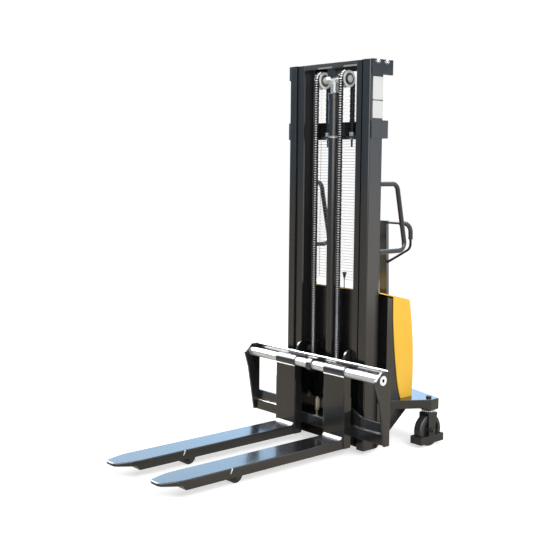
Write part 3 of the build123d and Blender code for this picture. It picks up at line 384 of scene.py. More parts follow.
def highlight_strip(net, place):
    """Where the head bar's front carries the painted highlight."""
    across, depth, height = axes(net, place)
    on_left = (across > left_strip[0]) * (across < left_strip[1])
    on_right = (across > right_strip[0]) * (across < right_strip[1])
    in_strip = (height > strip_foot) * (height < strip_head)
    return (on_left + on_right) * in_strip * (depth < bar_front + skin)


bar_enamel = gloss_enamel("inner_bar_enamel", cover=highlight_strip, cover_colour=painted_highlight_grey, **dull_finish)
paint(bar_enamel, "inner_crossbars")


# Cheek bolts: zinc-plated hexagon heads on flat washers. Two go through each top cheek plate into the post
# behind it.
def bright_bar(name, colour, roughness, rings, metal=1.0):
    """Ground, turned or plated metal with fine lines of a given spacing on each axis of the piece."""
    material, net = new_material(name)
    place = net.node("ShaderNodeTexCoord", output="Object")
    stretched = net.node("ShaderNodeMapping", {}, {"Vector": place, "Scale": rings})
    lines = speckle(net, stretched, scale=1.0, detail=3.0)
    smudge = speckle(net, place, scale=14.0, detail=3.0)
    normal = net.node("ShaderNodeBump", {}, {"Strength": 0.05, "Distance": 0.0004, "Height": lines})
    smudged = [0.8 * part for part in colour[:3]] + [1]
    shader = net.node("ShaderNodeBsdfPrincipled", {}, {
        "Base Color": blend_colours(net, smudge, colour, smudged), "Metallic": metal,
        "Roughness": roughness + 0.12 * smudge, "Normal": normal})
    net.node("ShaderNodeOutputMaterial", {}, {"Surface": shader})
    return material


def new_tree(name, **inputs):
    """An empty Geometry Nodes tree, and the wires of its geometry and of its named inputs."""
    tree = bpy.data.node_groups.new(name, "GeometryNodeTree")
    tree.interface.new_socket("Geometry", in_out="INPUT", socket_type="NodeSocketGeometry")
    tree.interface.new_socket("Geometry", in_out="OUTPUT", socket_type="NodeSocketGeometry")
    for label, kind in inputs.items():
        tree.interface.new_socket(label, in_out="INPUT", socket_type="NodeSocket" + kind)
    entry = tree.nodes.new("NodeGroupInput")
    return tree, {label: Wire(tree, entry.outputs[label]) for label in ["Geometry", *inputs]}


def close_tree(geometry, *finishes):
    """Ends a tree: instances made real, then each material on its share of the faces."""
    solid = geometry.node("GeometryNodeRealizeInstances", {}, {"Geometry": geometry})
    for material, share in finishes:
        chosen = {"Geometry": solid, "Material": material, "Selection": share}
        solid = solid.node("GeometryNodeSetMaterial", {}, chosen)
    geometry.node("NodeGroupOutput", {}, {"Geometry": solid})


def grown(name, tree, points, runs, aims=(), **settings):
    """A plain mesh that a tree makes from points, the runs between them and the way each point faces."""
    seed = bpy.data.meshes.new(name)
    seed.from_pydata(points, runs, [])
    aim = seed.attributes.new("aim", "FLOAT_VECTOR", "POINT")
    for row, vector in zip(aim.data, aims):
        row.vector = vector
    piece = bpy.data.objects.new(name, seed)
    bpy.context.scene.collection.objects.link(piece)
    modifier = piece.modifiers.new(name, "NODES")
    modifier.node_group = tree
    for socket in tree.interface.items_tree:
        if socket.in_out == "INPUT" and socket.name in settings:
            modifier[socket.identifier] = settings[socket.name]
    evaluated = piece.evaluated_get(bpy.context.evaluated_depsgraph_get())
    mesh = bpy.data.meshes.new_from_object(evaluated)
    piece.modifiers.remove(modifier)
    piece.data = mesh
    return piece


def joined(net, *pieces):
    """Several meshes as one."""
    whole = net.node("GeometryNodeJoinGeometry")
    for piece in pieces:
        net.tree.links.new(piece.socket, whole.socket.node.inputs[0])
    return whole


def along_z(net, height):
    """A vector of a given height."""
    return net.node("ShaderNodeCombineXYZ", {}, {"Z": height})


def raised(net, piece, height):
    """A mesh moved up."""
    return net.node("GeometryNodeTransform", {}, {"Geometry": piece, "Translation": along_z(net, height)})


zinc_steel = bright_bar("zinc_plated_steel", (0.72, 0.73, 0.74, 1), roughness=0.25, rings=(40.0, 40.0, 40.0))
bolt_tree, wires = new_tree("hexagon_heads", Head="Float", Height="Float", Washer="Float", Sheet="Float",
                            Finish="Material")
net = wires["Geometry"]
head = wires["Head"]
tall = wires["Height"]
sheet = wires["Sheet"]
hexagon = net.node("GeometryNodeMeshCylinder", {}, {"Vertices": 6, "Radius": head, "Depth": tall})
washer = net.node("GeometryNodeMeshCylinder", {}, {
    "Vertices": 20, "Radius": wires["Washer"], "Depth": sheet})
crown = net.node("GeometryNodeMeshCone", {}, {
    "Vertices": 6, "Radius Top": 0.8 * head, "Radius Bottom": head, "Depth": 0.2 * tall})
bolt_head = joined(net, raised(net, hexagon, sheet + 0.5 * tall), raised(net, washer, 0.5 * sheet),
                   raised(net, crown, sheet + tall))
facing = net.node("GeometryNodeInputNamedAttribute", {"data_type": "FLOAT_VECTOR"}, {"Name": "aim"})
turn = net.node("FunctionNodeAlignRotationToVector", {"axis": "Z"}, {"Vector": facing})
placed = net.node("GeometryNodeInstanceOnPoints", {}, {
    "Points": wires["Geometry"], "Instance": bolt_head, "Rotation": turn})
close_tree(placed, (wires["Finish"], True))

mast_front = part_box("left_post")[0].y
cheek_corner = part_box("crossmember_cheeks")[1]
cheek_bolt_depths = (0.042, 0.110)
cheek_bolt_height = cheek_corner.z - 0.012
places = []
aims = []
for side in (-1, 1):
    for depth in cheek_bolt_depths:
        places.append((side * cheek_corner.x, mast_front + depth, cheek_bolt_height))
        aims.append((side, 0, 0))
cheek_bolts = grown("cheek_bolts", bolt_tree, places, [], aims, Head=0.0105, Height=0.008, Washer=0.0118,
                    Sheet=0.003, Finish=zinc_steel)
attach(cheek_bolts, "chassis")


# Blank plates on the right post: two bare white plates, cut from thin sheet with round corners and stuck to
# the post's side.
def thin_plate(name, low, high, corner, material):
    """A flat plate between two corners, standing across X, with its outline's corners rounded."""
    mesh = bpy.data.meshes.new(name)
    shape = bmesh.new()
    bmesh.ops.create_cube(shape, size=1.0)
    middle = (Vector(low) + Vector(high)) / 2
    for vertex in shape.verts:
        vertex.co = Vector(a * (h - b) + m for a, b, h, m in zip(vertex.co, low, high, middle))
    corners = [edge for edge in shape.edges if abs(edge.verts[0].co.x - edge.verts[1].co.x) > corner / 100]
    bmesh.ops.bevel(shape, geom=corners, offset=corner, segments=4, affect="EDGES", profile=0.5)
    bmesh.ops.recalc_face_normals(shape, faces=shape.faces)
    shape.to_mesh(mesh)
    shape.free()
    mesh.materials.append(material)
    plate = bpy.data.objects.new(name, mesh)
    bpy.context.scene.collection.objects.link(plate)
    return plate


def moulded_plastic(name, deep, bright, roughness, grain, mirror=0.5):
    """Coloured plastic or sheet between two tones, with a grain of a given scale."""
    material, net = new_material(name)
    place = net.node("ShaderNodeTexCoord", output="Object")
    clouds = speckle(net, place, scale=5.0, detail=4.0)
    pores = speckle(net, place, scale=grain, detail=3.0)
    edge = net.node("ShaderNodeBevel", {"samples": 4}, {"Radius": 0.002})
    normal = net.node("ShaderNodeBump", {}, {
        "Strength": 0.08, "Distance": 0.0005, "Height": pores, "Normal": edge})
    shader = net.node("ShaderNodeBsdfPrincipled", {}, {
        "Base Color": blend_colours(net, clouds, deep, bright), "Roughness": roughness + 0.1 * pores,
        "Specular IOR Level": mirror, "Normal": normal})
    net.node("ShaderNodeOutputMaterial", {}, {"Surface": shader})
    return material


plate_white = moulded_plastic("blank_plate_white", (0.58, 0.58, 0.57, 1), (0.66, 0.66, 0.65, 1),
                              roughness=0.35, grain=500.0)
post_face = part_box("right_post")[1].x
plate_outside = post_face + 0.001
plate_start = mast_front + 0.022
plate_end = mast_front + 0.098
plate_corner = 0.006
for name, foot, head in (("upper_blank_plate", 1.872, 1.990), ("lower_blank_plate", 1.777, 1.867)):
    plate = thin_plate(name, (post_face, plate_start, foot), (plate_outside, plate_end, head),
                       plate_corner, plate_white)
    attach(plate, "chassis")

# Guide rollers: plain turned steel, a little oily, on stub axles. They lead the inner mast in the outer
# posts and the carriage in the inner ones.
turned_steel = bright_bar("turned_steel", (0.62, 0.61, 0.6, 1), roughness=0.24, rings=(400.0, 3.0, 3.0))
paint(turned_steel, "mast_guide_rollers", "inner_guide_rollers", "upper_carriage_rollers",
      "lower_carriage_rollers")

# Straddle legs and platform: plates, folded and welded, under the same enamel with wider soft edges. The
# legs run forward from the foot of the mast, and the platform behind it carries the power pack.
plate_enamel = gloss_enamel("plate_steel_enamel", roughness=0.2, coat=0.4, corner=0.005,
                            streaks=even_streaks)
paint(plate_enamel, "left_leg", "right_leg", "platform")

# Push handles: steel tube bent to an open loop and welded to each outer post, under the same enamel. The
# truck is pushed and steadied by them.
paint(plate_enamel, "left_handle", "right_handle")

# Caster forks: pressed and welded yokes with their foot guards, in the same black with less gloss. Each
# swivels on a stem under the platform.
fine_streaks = (12.0, 12.0, 12.0)
caster_enamel = gloss_enamel("caster_enamel", roughness=0.4, coat=0.0, corner=0.003, streaks=fine_streaks)
paint(caster_enamel, "left_caster_fork", "right_caster_fork")

# Load rollers and caster wheels: black nylon, turned and slightly scuffed. They run on plain axles in the
# legs and in the caster forks.
wheel_nylon = moulded_plastic("wheel_black_nylon", (0.016, 0.016, 0.017, 1), (0.03, 0.03, 0.031, 1),
                              roughness=0.4, grain=300.0)
paint(wheel_nylon, "left_caster_wheel", "right_caster_wheel", "left_load_roller", "right_load_roller")


# Caster bearings and axle nuts: a ring of bright steel balls between each swivel fork's crown and the
# platform's pad, and an enamelled nut on a washer at each end of the wheel's axle.
def middle_of(name):
    """The middle of a CAD piece."""
    low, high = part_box(name)
    return (low + high) / 2


ball_tree, wires = new_tree("bearing_balls", Ring="Float", Ball="Float", Count="Int")
net = wires["Geometry"]
ring = net.node("GeometryNodeMeshCircle", {}, {"Vertices": wires["Count"], "Radius": wires["Ring"]})
ball = net.node("GeometryNodeMeshUVSphere", {}, {"Segments": 12, "Rings": 8, "Radius": wires["Ball"]})
ball = net.node("GeometryNodeSetShadeSmooth", {}, {0: ball})
race = net.node("GeometryNodeInstanceOnPoints", {}, {"Points": ring, "Instance": ball})
placed = net.node("GeometryNodeInstanceOnPoints", {}, {"Points": wires["Geometry"], "Instance": race})
close_tree(placed, (zinc_steel, True))
stem_y = mast_front + 0.425
ball_height = 0.1954
for side in ("left", "right"):
    stem = (middle_of(side + "_caster_fork").x, stem_y, ball_height)
    balls = grown(side + "_bearing_balls", ball_tree, [stem], [], Ring=0.034, Ball=0.005, Count=18)
    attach(balls, side + "_caster")
    wheel = middle_of(side + "_caster_wheel")
    places = [(corner.x, wheel.y, wheel.z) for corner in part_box(side + "_caster_fork")]
    nuts = grown(side + "_axle_nuts", bolt_tree, places, [], [(-1, 0, 0), (1, 0, 0)], Head=0.011,
                 Height=0.008, Washer=0.014, Sheet=0.002, Finish=plate_enamel)
    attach(nuts, side + "_caster")

# Lift cylinder and piston rod: an enamelled barrel with a screwed gland, fixed between the posts, and a
# chromed rod that pushes the crosshead up. The head bracket ties the crosshead to the inner mast.
paint(rolled_enamel, "lift_cylinder", "cylinder_gland", "head_bracket")
rod_chrome = bright_bar("rod_chrome", (0.56, 0.58, 0.6, 1), roughness=0.22, rings=(2.0, 2.0, 600.0),
                        metal=0.45)
paint(rod_chrome, "piston_rod")

# Crosshead and sheaves: a turned steel tube whose axle carries a sheave at each end. The retaining discs and
# the sheaves' webs are black with oil, and the axle's ends and the sheaves' rims are bright.
sheave_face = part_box("chain_sheaves")[1].x
axle = middle_of("chain_sheaves")
axle_end_radius = 0.019
oily_web_radius = 0.032
rim_bright = (0.74, 0.74, 0.72, 1)
rim_smudged = (0.6, 0.6, 0.58, 1)
oil_and_shade_black = (0.03, 0.03, 0.03, 1)
for name in ("crosshead", "chain_sheaves"):
    steel, net = new_material(name + "_steel")
    place = net.node("ShaderNodeTexCoord", output="Object")
    across, depth, height = axes(net, place)
    depth = depth - axle.y
    height = height - axle.z
    radius = (depth * depth + height * height) ** 0.5
    outside = net.value("ABSOLUTE", across, 0.0) > sheave_face
    axle_end = outside * (radius < axle_end_radius)
    dark = outside - axle_end if name == "crosshead" else radius < oily_web_radius
    smudge = speckle(net, place, scale=30.0, detail=3.0)
    bright = blend_colours(net, smudge, rim_bright, rim_smudged)
    shader = net.node("ShaderNodeBsdfPrincipled", {}, {
        "Base Color": blend_colours(net, dark, bright, oil_and_shade_black), "Metallic": 0.3 - 0.3 * dark,
        "Roughness": 0.3 + 0.15 * smudge})
    net.node("ShaderNodeOutputMaterial", {}, {"Surface": shader})
    paint(steel, name)

# Lift chains: rollers on pins, painted near white as a highlight, with dark leaves between them and side
# plates in wide and narrow links by turns. The front strands run from the carriage to the sheaves, the rear
# ones from there to the anchors on the mast; the rear strands' rollers are painted darker, as shade.
chain_grain = (60.0, 60.0, 60.0)
chain_dark = bright_bar("chain_plate_steel", (0.03, 0.03, 0.033, 1), roughness=0.45, rings=chain_grain)
# Near-white rollers: a painted highlight.
chain_roller_highlight = bright_bar("chain_roller_steel", (0.95, 0.95, 0.94, 1), roughness=0.25, rings=chain_grain,
                          metal=0.3)
# A darker copy for the rear strands' rollers: painted shade.
chain_roller_shade = bright_bar("chain_shaded_steel", (0.16, 0.16, 0.17, 1), roughness=0.3, rings=chain_grain)
chain_tree, wires = new_tree("lift_chain", Pitch="Float", Roller="Float", Inside="Float", Width="Float",
                             Plate="Float", Sheet="Float", Finish="Material")
net = wires["Geometry"]
pitch = wires["Pitch"]
half_pitch = 0.5 * pitch
sheet = wires["Sheet"]
plate_height = wires["Plate"]
half_width = 0.5 * wires["Width"]
lines = net.node("GeometryNodeMeshToCurve", {}, {"Mesh": wires["Geometry"]})
run_length = net.node("GeometryNodeSplineLength")
middles = net.node("GeometryNodeTrimCurve", {"mode": "LENGTH"}, {
    "Curve": lines, "Start_001": half_pitch, "End_001": run_length - half_pitch})


def chain_points(curve):
    """Points a pitch apart, and turns that set Z along the chain and keep X across the truck."""
    points = net.node("GeometryNodeCurveToPoints", {"mode": "LENGTH"}, {"Curve": curve, "Length": pitch})
    tangent = Wire(net.tree, points.socket.node.outputs["Tangent"])
    first = net.node("FunctionNodeAlignRotationToVector", {"axis": "Z"}, {"Vector": tangent})
    turn = net.node("FunctionNodeAlignRotationToVector", {"axis": "X", "pivot_axis": "Z"}, {
        "Rotation": first, "Vector": (1.0, 0.0, 0.0)})
    return {"Points": points, "Rotation": turn}


def cross_bar(radius, width, sides):
    """A round bar across the chain."""
    bar = net.node("GeometryNodeMeshCylinder", {}, {"Vertices": sides, "Radius": radius, "Depth": width})
    return net.node("GeometryNodeTransform", {}, {"Geometry": bar, "Rotation": (0.0, pi / 2, 0.0)})


def link_plates(spread, sheet, height):
    """A pair of long round-ended plates that span one pitch, a given distance from the middle."""
    ends = [raised(net, cross_bar(0.5 * height, sheet, sides=10), step * half_pitch) for step in (-1, 1)]
    plate = net.node("GeometryNodeConvexHull", {}, {"Geometry": joined(net, *ends)})
    pair = []
    for step in (-1, 1):
        place = net.node("ShaderNodeCombineXYZ", {}, {"X": step * spread})
        pair.append(net.node("GeometryNodeTransform", {}, {"Geometry": plate, "Translation": place}))
    return joined(net, *pair)


inside = wires["Inside"]
pin = cross_bar(0.5 * wires["Roller"], wires["Width"], sides=8)
roller = joined(net, cross_bar(wires["Roller"], inside, sides=12), pin)
# Roller faces are marked to take the painted highlight finish.
roller = net.node("GeometryNodeStoreNamedAttribute", {"data_type": "BOOLEAN", "domain": "FACE"}, {
    "Geometry": roller, "Name": "bright", "Value": True})
rollers = net.node("GeometryNodeInstanceOnPoints", {}, {"Instance": roller, **chain_points(lines)})
link_points = chain_points(middles)
odd = net.value("MODULO", net.node("GeometryNodeInputIndex"), 2.0) > 0.5
outer_plates = link_plates(half_width - 0.5 * sheet, sheet, plate_height)
inner_plates = link_plates(half_width - 1.6 * sheet, sheet, plate_height)
leaf_plates = link_plates(0.25 * inside, 0.4 * inside, 0.45 * plate_height)
outer_links = net.node("GeometryNodeInstanceOnPoints", {}, {
    "Instance": outer_plates, "Selection": odd, **link_points})
inner_links = net.node("GeometryNodeInstanceOnPoints", {}, {
    "Instance": inner_plates, "Selection": 1.0 - odd, **link_points})
leaves = net.node("GeometryNodeInstanceOnPoints", {}, {"Instance": leaf_plates, **link_points})
highlighted_rollers = net.node("GeometryNodeInputNamedAttribute", {"data_type": "BOOLEAN"}, {"Name": "bright"})
chain_links = joined(net, rollers, outer_links, inner_links, leaves)
close_tree(chain_links, (chain_dark, True), (wires["Finish"], highlighted_rollers))

chain_offset = 0.091
chain_pitch = 0.0127
plate_room = 0.004
front_low, front_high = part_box("front_chains")
rear_low, rear_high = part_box("rear_chains")
chain_width = 2 * (front_high.x - chain_offset)
chain_sizes = {"Roller": 0.0030, "Inside": chain_width - plate_room, "Width": chain_width,
               "Plate": front_high.y - front_low.y, "Sheet": 0.0022}
front_y = (front_low.y + front_high.y) / 2
rear_y = (rear_low.y + rear_high.y) / 2


def chain_runs(route):
    """The same route of (Y, Z) points for the left and the right chain, and the runs between its points."""
    points = [(side * chain_offset, y, z) for side in (-1, 1) for y, z in route]
    runs = [(start + i, start + i + 1) for start in (0, len(route)) for i in range(len(route) - 1)]
    return points, runs


def even_pitch(length):
    """The pitch that divides a strand into whole links."""
    return length / round(length / chain_pitch)


points, runs = chain_runs([(front_y, front_low.z), (front_y, front_high.z)])
front_strands = grown("front_chain_strands", chain_tree, points, runs,
                      Pitch=even_pitch(front_high.z - front_low.z), Finish=chain_roller_highlight, **chain_sizes)
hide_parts("front_chains")
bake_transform(front_strands)

points, runs = chain_runs([(rear_y, rear_low.z), (rear_y, rear_high.z)])
rear_strands = grown("rear_chain_strands", chain_tree, points, runs,
                     Pitch=even_pitch(rear_high.z - rear_low.z), Finish=chain_roller_shade, **chain_sizes)
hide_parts("rear_chains")
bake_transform(rear_strands)

wrap_radius = (rear_y - front_y) / 2
wrap_links = round(pi * wrap_radius / chain_pitch)
wrap_chord = 2 * wrap_radius * sin(pi / (2 * wrap_links))
chord_share = 0.999
wrap_route = []
for i in range(wrap_links + 1):
    angle = pi * i / wrap_links
    wrap_route.append((front_y + wrap_radius * (1 - cos(angle)), front_high.z + wrap_radius * sin(angle)))
points, runs = chain_runs(wrap_route)
wrap_strands = grown("chain_wrap_strands", chain_tree, points, runs, Pitch=chord_share * wrap_chord,
                     Finish=chain_roller_highlight, **chain_sizes)
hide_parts("chain_wraps")
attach(wrap_strands, "inner_mast")

# Chain anchors: a bright clevis on the shelf and a bright nut under it, on a threaded bolt. Each bolt's tail
# hangs below its nut and is painted black, as shade under the cross-member.
anchor_bright = (0.8, 0.8, 0.8, 1)
anchor_smudged = (0.62, 0.62, 0.62, 1)
tail_shade_black = (0.02, 0.02, 0.02, 1)
nut_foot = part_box("chain_anchors")[0].z + 0.039
anchor_steel, net = new_material("anchor_steel")
place = net.node("ShaderNodeTexCoord", output="Object")
height = axes(net, place)[2]
shaded_tail = height < nut_foot
smudge = speckle(net, place, scale=40.0, detail=3.0)
bright = blend_colours(net, smudge, anchor_bright, anchor_smudged)
shader = net.node("ShaderNodeBsdfPrincipled", {}, {
    "Base Color": blend_colours(net, shaded_tail, bright, tail_shade_black), "Metallic": 0.8 - 0.8 * shaded_tail,
    "Roughness": 0.25 + 0.15 * smudge})
net.node("ShaderNodeOutputMaterial", {}, {"Surface": shader})
paint(anchor_steel, "chain_anchors")

# Cylinder strap: a bright steel band bent round the front of the barrel, with its ends welded to the chain
# anchor shelf. It keeps the barrel's upper end in line with the mast.
barrel_low, barrel_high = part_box("lift_cylinder")
barrel_y = (barrel_low.y + barrel_high.y) / 2
shelf_y = barrel_high.y + 0.002
band_radius = barrel_high.x + 0.0004
band_foot = 1.680
band_head = 1.691
band_sheet = 0.0022
band_steps = 24
route = [(-band_radius, shelf_y)]
for i in range(band_steps + 1):
    angle = pi + pi * i / band_steps
    route.append((band_radius * cos(angle), barrel_y + band_radius * sin(angle)))
route.append((band_radius, shelf_y))
band_mesh = bpy.data.meshes.new("cylinder_strap")
shape = bmesh.new()
lower = [shape.verts.new((x, y, band_foot)) for x, y in route]
upper = [shape.verts.new((x, y, band_head)) for x, y in route]
for i in range(len(route) - 1):
    shape.faces.new((lower[i], lower[i + 1], upper[i + 1], upper[i]))
bmesh.ops.solidify(shape, geom=shape.faces[:], thickness=-band_sheet)
bmesh.ops.recalc_face_normals(shape, faces=shape.faces[:])
shape.to_mesh(band_mesh)
shape.free()
band_steel = bright_bar("strap_bright_steel", (0.9, 0.9, 0.88, 1), roughness=0.3, rings=(40.0, 40.0, 400.0),
                        metal=0.4)
band_mesh.materials.append(band_steel)
cylinder_strap = bpy.data.objects.new("cylinder_strap", band_mesh)
bpy.context.scene.collection.objects.link(cylinder_strap)
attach(cylinder_strap, "chassis")

# Flow valve: a body and stem of pale, nickel-washed brass, turned and screwed into the foot of the barrel.
# It sets how fast the mast comes down.
valve_brass = bright_bar("valve_brass", (0.88, 0.82, 0.66, 1), roughness=0.25, rings=(300.0, 300.0, 300.0),
                         metal=0.5)
paint(valve_brass, "flow_valve")

# Carriage: flame-cut plates and flat bars, welded up and enamelled. Their edges are ground to a wide round,
# which the coat makes shine. Along the upper bar's front edge, and on the left end of the lower bar's top,
# pale bare-looking steel is painted on as a highlight.
carriage_finish = {"roughness": 0.18, "coat": 0.5, "corner": 0.008, "streaks": even_streaks}
carriage_enamel = gloss_enamel("carriage_enamel", **carriage_finish)
paint(carriage_enamel, "carriage_end_plates", "shaft_support", "chain_lugs")
bar_low, bar_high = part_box("carriage_upper_bar")
highlight_band = 0.0048
lower_bar_top = 0.164
lower_highlight_band = 0.002
lower_highlight_end = -0.25


def upper_bar_highlight(net, place):
    """The painted highlight along the upper bar's front edge."""
    depth, height = axes(net, place)[1:]
    return (height > bar_high.z - highlight_band) * (depth < bar_low.y + highlight_band)


def lower_bar_highlight(net, place):
    """The painted highlight on the top of the lower bar's left end."""
    across, depth, height = axes(net, place)
    level = net.value("ABSOLUTE", height - lower_bar_top, 0.0) < lower_highlight_band
    return level * (depth < bar_low.y - skin) * (across < lower_highlight_end)


for name, highlight_mask in (("carriage_upper_bar", upper_bar_highlight), ("carriage_lower_plate", lower_bar_highlight)):
    paint(gloss_enamel(name + "_enamel", highlight_mask=highlight_mask, **carriage_finish), name)
upright_inside = 0.176
# The uprights' inner faces are painted darker, as shade inside the carriage.
upright_enamel = gloss_enamel("upright_enamel", cover=painted_shade_inside(upright_inside + skin), **carriage_finish)
paint(upright_enamel, "carriage_uprights")

# Fork shaft: ground bar with hard chrome, and fine rings from the grinding round it. Its sawn ends are
# painted a dull white as a highlight, and the centre holes in them are painted dark as shade.
shaft_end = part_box("fork_shaft")[1].x
shaft_middle = middle_of("fork_shaft")
end_skin = 0.0004
centre_reach = 0.0085
centre_depth = 0.030
chrome_bright = (0.86, 0.87, 0.88, 1)
chrome_smudged = (0.7, 0.71, 0.72, 1)
# Dull white painted on the sawn ends as a highlight.
end_highlight_white = (0.85, 0.85, 0.84, 1)
shaft_chrome, net = new_material("shaft_chrome")
place = net.node("ShaderNodeTexCoord", output="Object")
across, depth, height = axes(net, place)
depth = depth - shaft_middle.y
height = height - shaft_middle.z
radius = (depth * depth + height * height) ** 0.5
off_middle = net.value("ABSOLUTE", across, 0.0)
sawn = off_middle > shaft_end - end_skin
centre = (off_middle > shaft_end - centre_depth) * (radius < centre_reach)
rings = net.node("ShaderNodeMapping", {}, {"Vector": place, "Scale": (600.0, 2.0, 2.0)})
grinding = speckle(net, rings, scale=1.0, detail=3.0)
smudge = speckle(net, place, scale=14.0, detail=3.0)
colour = blend_colours(net, smudge, chrome_bright, chrome_smudged)
colour = blend_colours(net, sawn, colour, end_highlight_white)
colour = blend_colours(net, centre, colour, oil_and_shade_black)
metal = 0.6 - 0.6 * net.value("MAXIMUM", sawn, centre)
normal = net.node("ShaderNodeBump", {}, {"Strength": 0.05, "Distance": 0.0004, "Height": grinding})
shader = net.node("ShaderNodeBsdfPrincipled", {}, {
    "Base Color": colour, "Metallic": metal, "Roughness": 0.14 + 0.12 * smudge + 0.3 * sawn,
    "Normal": normal})
net.node("ShaderNodeOutputMaterial", {}, {"Surface": shader})
paint(shaft_chrome, "fork_shaft")

# Carriage roller bolts: blacked hexagon heads on washers, on the inner face of each upright. Each closes the
# end of a guide roller's stub axle.
roller_y = middle_of("upper_carriage_rollers").y
places = []
aims = []
for side in (-1, 1):
    for rollers_name in ("upper_carriage_rollers", "lower_carriage_rollers"):
        places.append((side * upright_inside, roller_y, middle_of(rollers_name).z))
        aims.append((-side, 0, 0))
black_steel = bright_bar("blacked_steel", (0.16, 0.16, 0.17, 1), roughness=0.3, rings=(60.0, 60.0, 60.0))
roller_bolts = grown("carriage_roller_bolts", bolt_tree, places, [], aims, Head=0.011, Height=0.008,
                     Washer=0.016, Sheet=0.003, Finish=black_steel)
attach(roller_bolts, "carriage")

# Forks: folded and welded plate under the same enamel as the legs, each with a sleeve that hangs on the
# shaft. Rippled weld beads lie bare where each sleeve meets its shank and across the blade's sides behind
# the tip.
paint(plate_enamel, "left_fork", "right_fork")
weld_tree, wires = new_tree("weld_bead", Step="Float", Bead="Float")
net = wires["Geometry"]
line = net.node("GeometryNodeMeshToCurve", {}, {"Mesh": wires["Geometry"]})
ripples = net.node("GeometryNodeCurveToPoints", {"mode": "LENGTH"}, {"Curve": line, "Length": wires["Step"]})
drop = net.node("GeometryNodeMeshIcoSphere", {}, {"Radius": wires["Bead"], "Subdivisions": 2})
drop = net.node("GeometryNodeSetShadeSmooth", {}, {0: drop})
swell = net.node("FunctionNodeRandomValue", {"data_type": "FLOAT"}, {"Min": 0.8, "Max": 1.15, "Seed": 7},
                 output="Value")
beads = net.node("GeometryNodeInstanceOnPoints", {}, {"Points": ripples, "Instance": drop, "Scale": swell})
weld_steel = bright_bar("weld_bead_steel", (0.5, 0.5, 0.5, 1), roughness=0.25, rings=(90.0, 90.0, 90.0))
close_tree(beads, (weld_steel, True))
sleeve_height = 0.4305
shank_face = mast_front - 0.1165
sleeve_half = 0.07
blade_half = 0.0725
blade_top = 0.089
blade_foot = 0.071
seam_top = mast_front - 0.863
seam_foot = mast_front - 0.872
for side in ("left", "right"):
    middle = middle_of(side + "_fork").x
    points = [(middle + end, shank_face, sleeve_height) for end in (-sleeve_half, sleeve_half)]
    for face in (middle - blade_half, middle + blade_half):
        points += [(face, seam_top, blade_top), (face, seam_foot, blade_foot)]
    weld = grown(side + "_fork_welds", weld_tree, points, [(0, 1), (2, 3), (4, 5)], Step=0.006, Bead=0.0048)
    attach(weld, side + "_fork_body")

# Rear cover: moulded shell, coloured through in orange-yellow, with a light texture from the mould. The
# plastic is satin, so it mirrors less of the lamps than the enamel does.
cover_shell = moulded_plastic("cover_orange_yellow", (0.87, 0.49, 0.05, 1), (0.93, 0.57, 0.075, 1),
                              roughness=0.35, grain=700.0, mirror=0.15)
paint(cover_shell, "rear_cover")

# Power pack: an enamelled frame and rear panel, bolted to the platform. Between them and the cover stand the
# battery in its black case, the white oil tank, the grey pump motor and the alloy valve block.
paint(rolled_enamel, "rear_panel", "unit_frame")
black_plastic = moulded_plastic("case_black_plastic", (0.015, 0.015, 0.016, 1), (0.03, 0.03, 0.03, 1),
                                roughness=0.35, grain=500.0)
paint(black_plastic, "battery")
tank_white = moulded_plastic("tank_white_plastic", (0.66, 0.65, 0.6, 1), (0.78, 0.77, 0.73, 1),
                             roughness=0.45, grain=300.0)
paint(tank_white, "oil_tank")
motor_grey = moulded_plastic("motor_grey_enamel", (0.08, 0.08, 0.09, 1), (0.12, 0.12, 0.13, 1),
                             roughness=0.35, grain=300.0)
paint(motor_grey, "pump_motor")
block_alloy = bright_bar("block_alloy", (0.6, 0.6, 0.6, 1), roughness=0.35, rings=(200.0, 200.0, 200.0))
paint(block_alloy, "valve_block")

# Controls: a turned steel lever with a black knob for lifting and lowering, a red stop button and a steel
# start key. They stand on the cover's top.
paint(turned_steel, "control_lever", "start_key")
paint(black_plastic, "lever_knob")
stop_red = moulded_plastic("stop_red_plastic", (0.5, 0.015, 0.012, 1), (0.65, 0.03, 0.02, 1), roughness=0.3,
                           grain=600.0)
paint(stop_red, "emergency_stop")

# Mesh guard: two welded panels of thin zinc-coated wire behind the posts, below and above the chain
# cross-member. The upper panel is thinner and paler, and the lower one is darker.
wire_grain = (50.0, 50.0, 50.0)
wire_zinc = bright_bar("guard_wire_zinc", (0.16, 0.16, 0.17, 1), roughness=0.4, rings=wire_grain, metal=0.6)
wire_pale = bright_bar("guard_wire_pale_zinc", (0.85, 0.85, 0.85, 1), roughness=0.5, rings=wire_grain,
                        metal=0.1)
guard_tree, wires = new_tree("guard_mesh", Pitch="Float", Width="Float", Span="Float", LowerThick="Float",
                             LowerFoot="Float", LowerRows="Int", UpperThick="Float", UpperFoot="Float",
                             UpperRows="Int")
net = wires["Geometry"]


def straight_wire(thick, start, end):
    """A round wire between two points."""
    first = net.node("ShaderNodeCombineXYZ", {}, start)
    last = net.node("ShaderNodeCombineXYZ", {}, end)
    section = net.node("GeometryNodeCurvePrimitiveCircle", {}, {"Resolution": 6, "Radius": 0.5 * thick})
    run = net.node("GeometryNodeCurvePrimitiveLine", {}, {"Start": first, "End": last})
    return net.node("GeometryNodeCurveToMesh", {}, {
        "Curve": run, "Profile Curve": section, "Fill Caps": True})


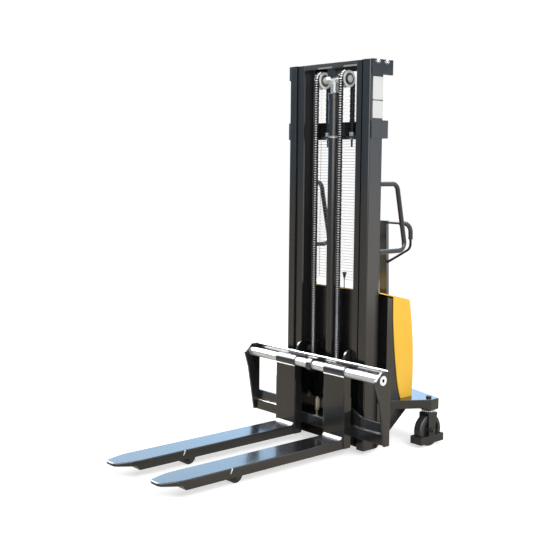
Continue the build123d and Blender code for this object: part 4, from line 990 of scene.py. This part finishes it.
weld_step = 0.8
panels = []
for panel in ("Lower", "Upper"):
    foot = wires[panel + "Foot"]
    rows = wires[panel + "Rows"]
    thick = wires[panel + "Thick"]
    head = foot + rows * wires["Pitch"]
    level_wire = straight_wire(thick, {"X": -0.5 * wires["Width"]}, {"X": 0.5 * wires["Width"]})
    stack = net.node("GeometryNodeMeshLine", {}, {
        "Count": rows + 1.0, "Start Location": along_z(net, foot), "Offset": along_z(net, wires["Pitch"])})
    panels.append(net.node("GeometryNodeInstanceOnPoints", {}, {"Points": stack, "Instance": level_wire}))
    for share in (-1.0, 0.0, 1.0):
        upright = {"X": share * wires["Span"], "Y": weld_step * thick}
        panels.append(straight_wire(thick, {**upright, "Z": foot}, {**upright, "Z": head}))
placed = net.node("GeometryNodeInstanceOnPoints", {}, {
    "Points": wires["Geometry"], "Instance": joined(net, *panels)})
height = axes(net, net.node("GeometryNodeInputPosition"))[2]
close_tree(placed, (wire_zinc, True), (wire_pale, height > wires["UpperFoot"] - wires["Pitch"]))
guard_low, guard_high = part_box("mesh_guard")
wire_pitch = 0.0157
lower_rows = 48
upper_rows = 14
edge_wire = 0.0015
mesh_guard = grown("mesh_guard_wires", guard_tree, [(0, guard_low.y + edge_wire, 0)], [], Pitch=wire_pitch,
                   Width=guard_high.x - guard_low.x, Span=0.158, LowerThick=0.0024, UpperThick=0.0013,
                   LowerFoot=guard_low.z + edge_wire, LowerRows=lower_rows,
                   UpperFoot=guard_high.z - edge_wire - upper_rows * wire_pitch, UpperRows=upper_rows)
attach(mesh_guard, "chassis")
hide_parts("mesh_guard")

# Tiller: a flat column under a thick gloss coat that mirrors the cover below it, and a loop of bent tube in
# plain enamel. It turns on a pin in an enamelled bracket, and black rubber grips are moulded over the loop's
# corners.
paint(plate_enamel, "tiller_bracket")
column_half = 0.0285
tiller_enamel = gloss_enamel("tiller_enamel", roughness=0.35, coat=0.0, corner=0.003, streaks=fine_streaks)
tiller_shader = tiller_enamel.node_tree.nodes["Principled BSDF"]
tiller_shader.inputs["Coat IOR"].default_value = 1.75
tiller_shader.inputs["Specular IOR Level"].default_value = 0.2
net = Wire(tiller_enamel.node_tree)
across = axes(net, net.node("ShaderNodeTexCoord", output="Object"))[0]
on_column = net.value("ABSOLUTE", across, 0.0) < column_half
net.tree.links.new(on_column.socket, tiller_shader.inputs["Coat Weight"])
paint(tiller_enamel, "tiller")
grip_rubber = moulded_plastic("grip_black_rubber", (0.014, 0.014, 0.014, 1), (0.028, 0.027, 0.027, 1),
                              roughness=0.6, grain=900.0)
paint(grip_rubber, "tiller_grips")
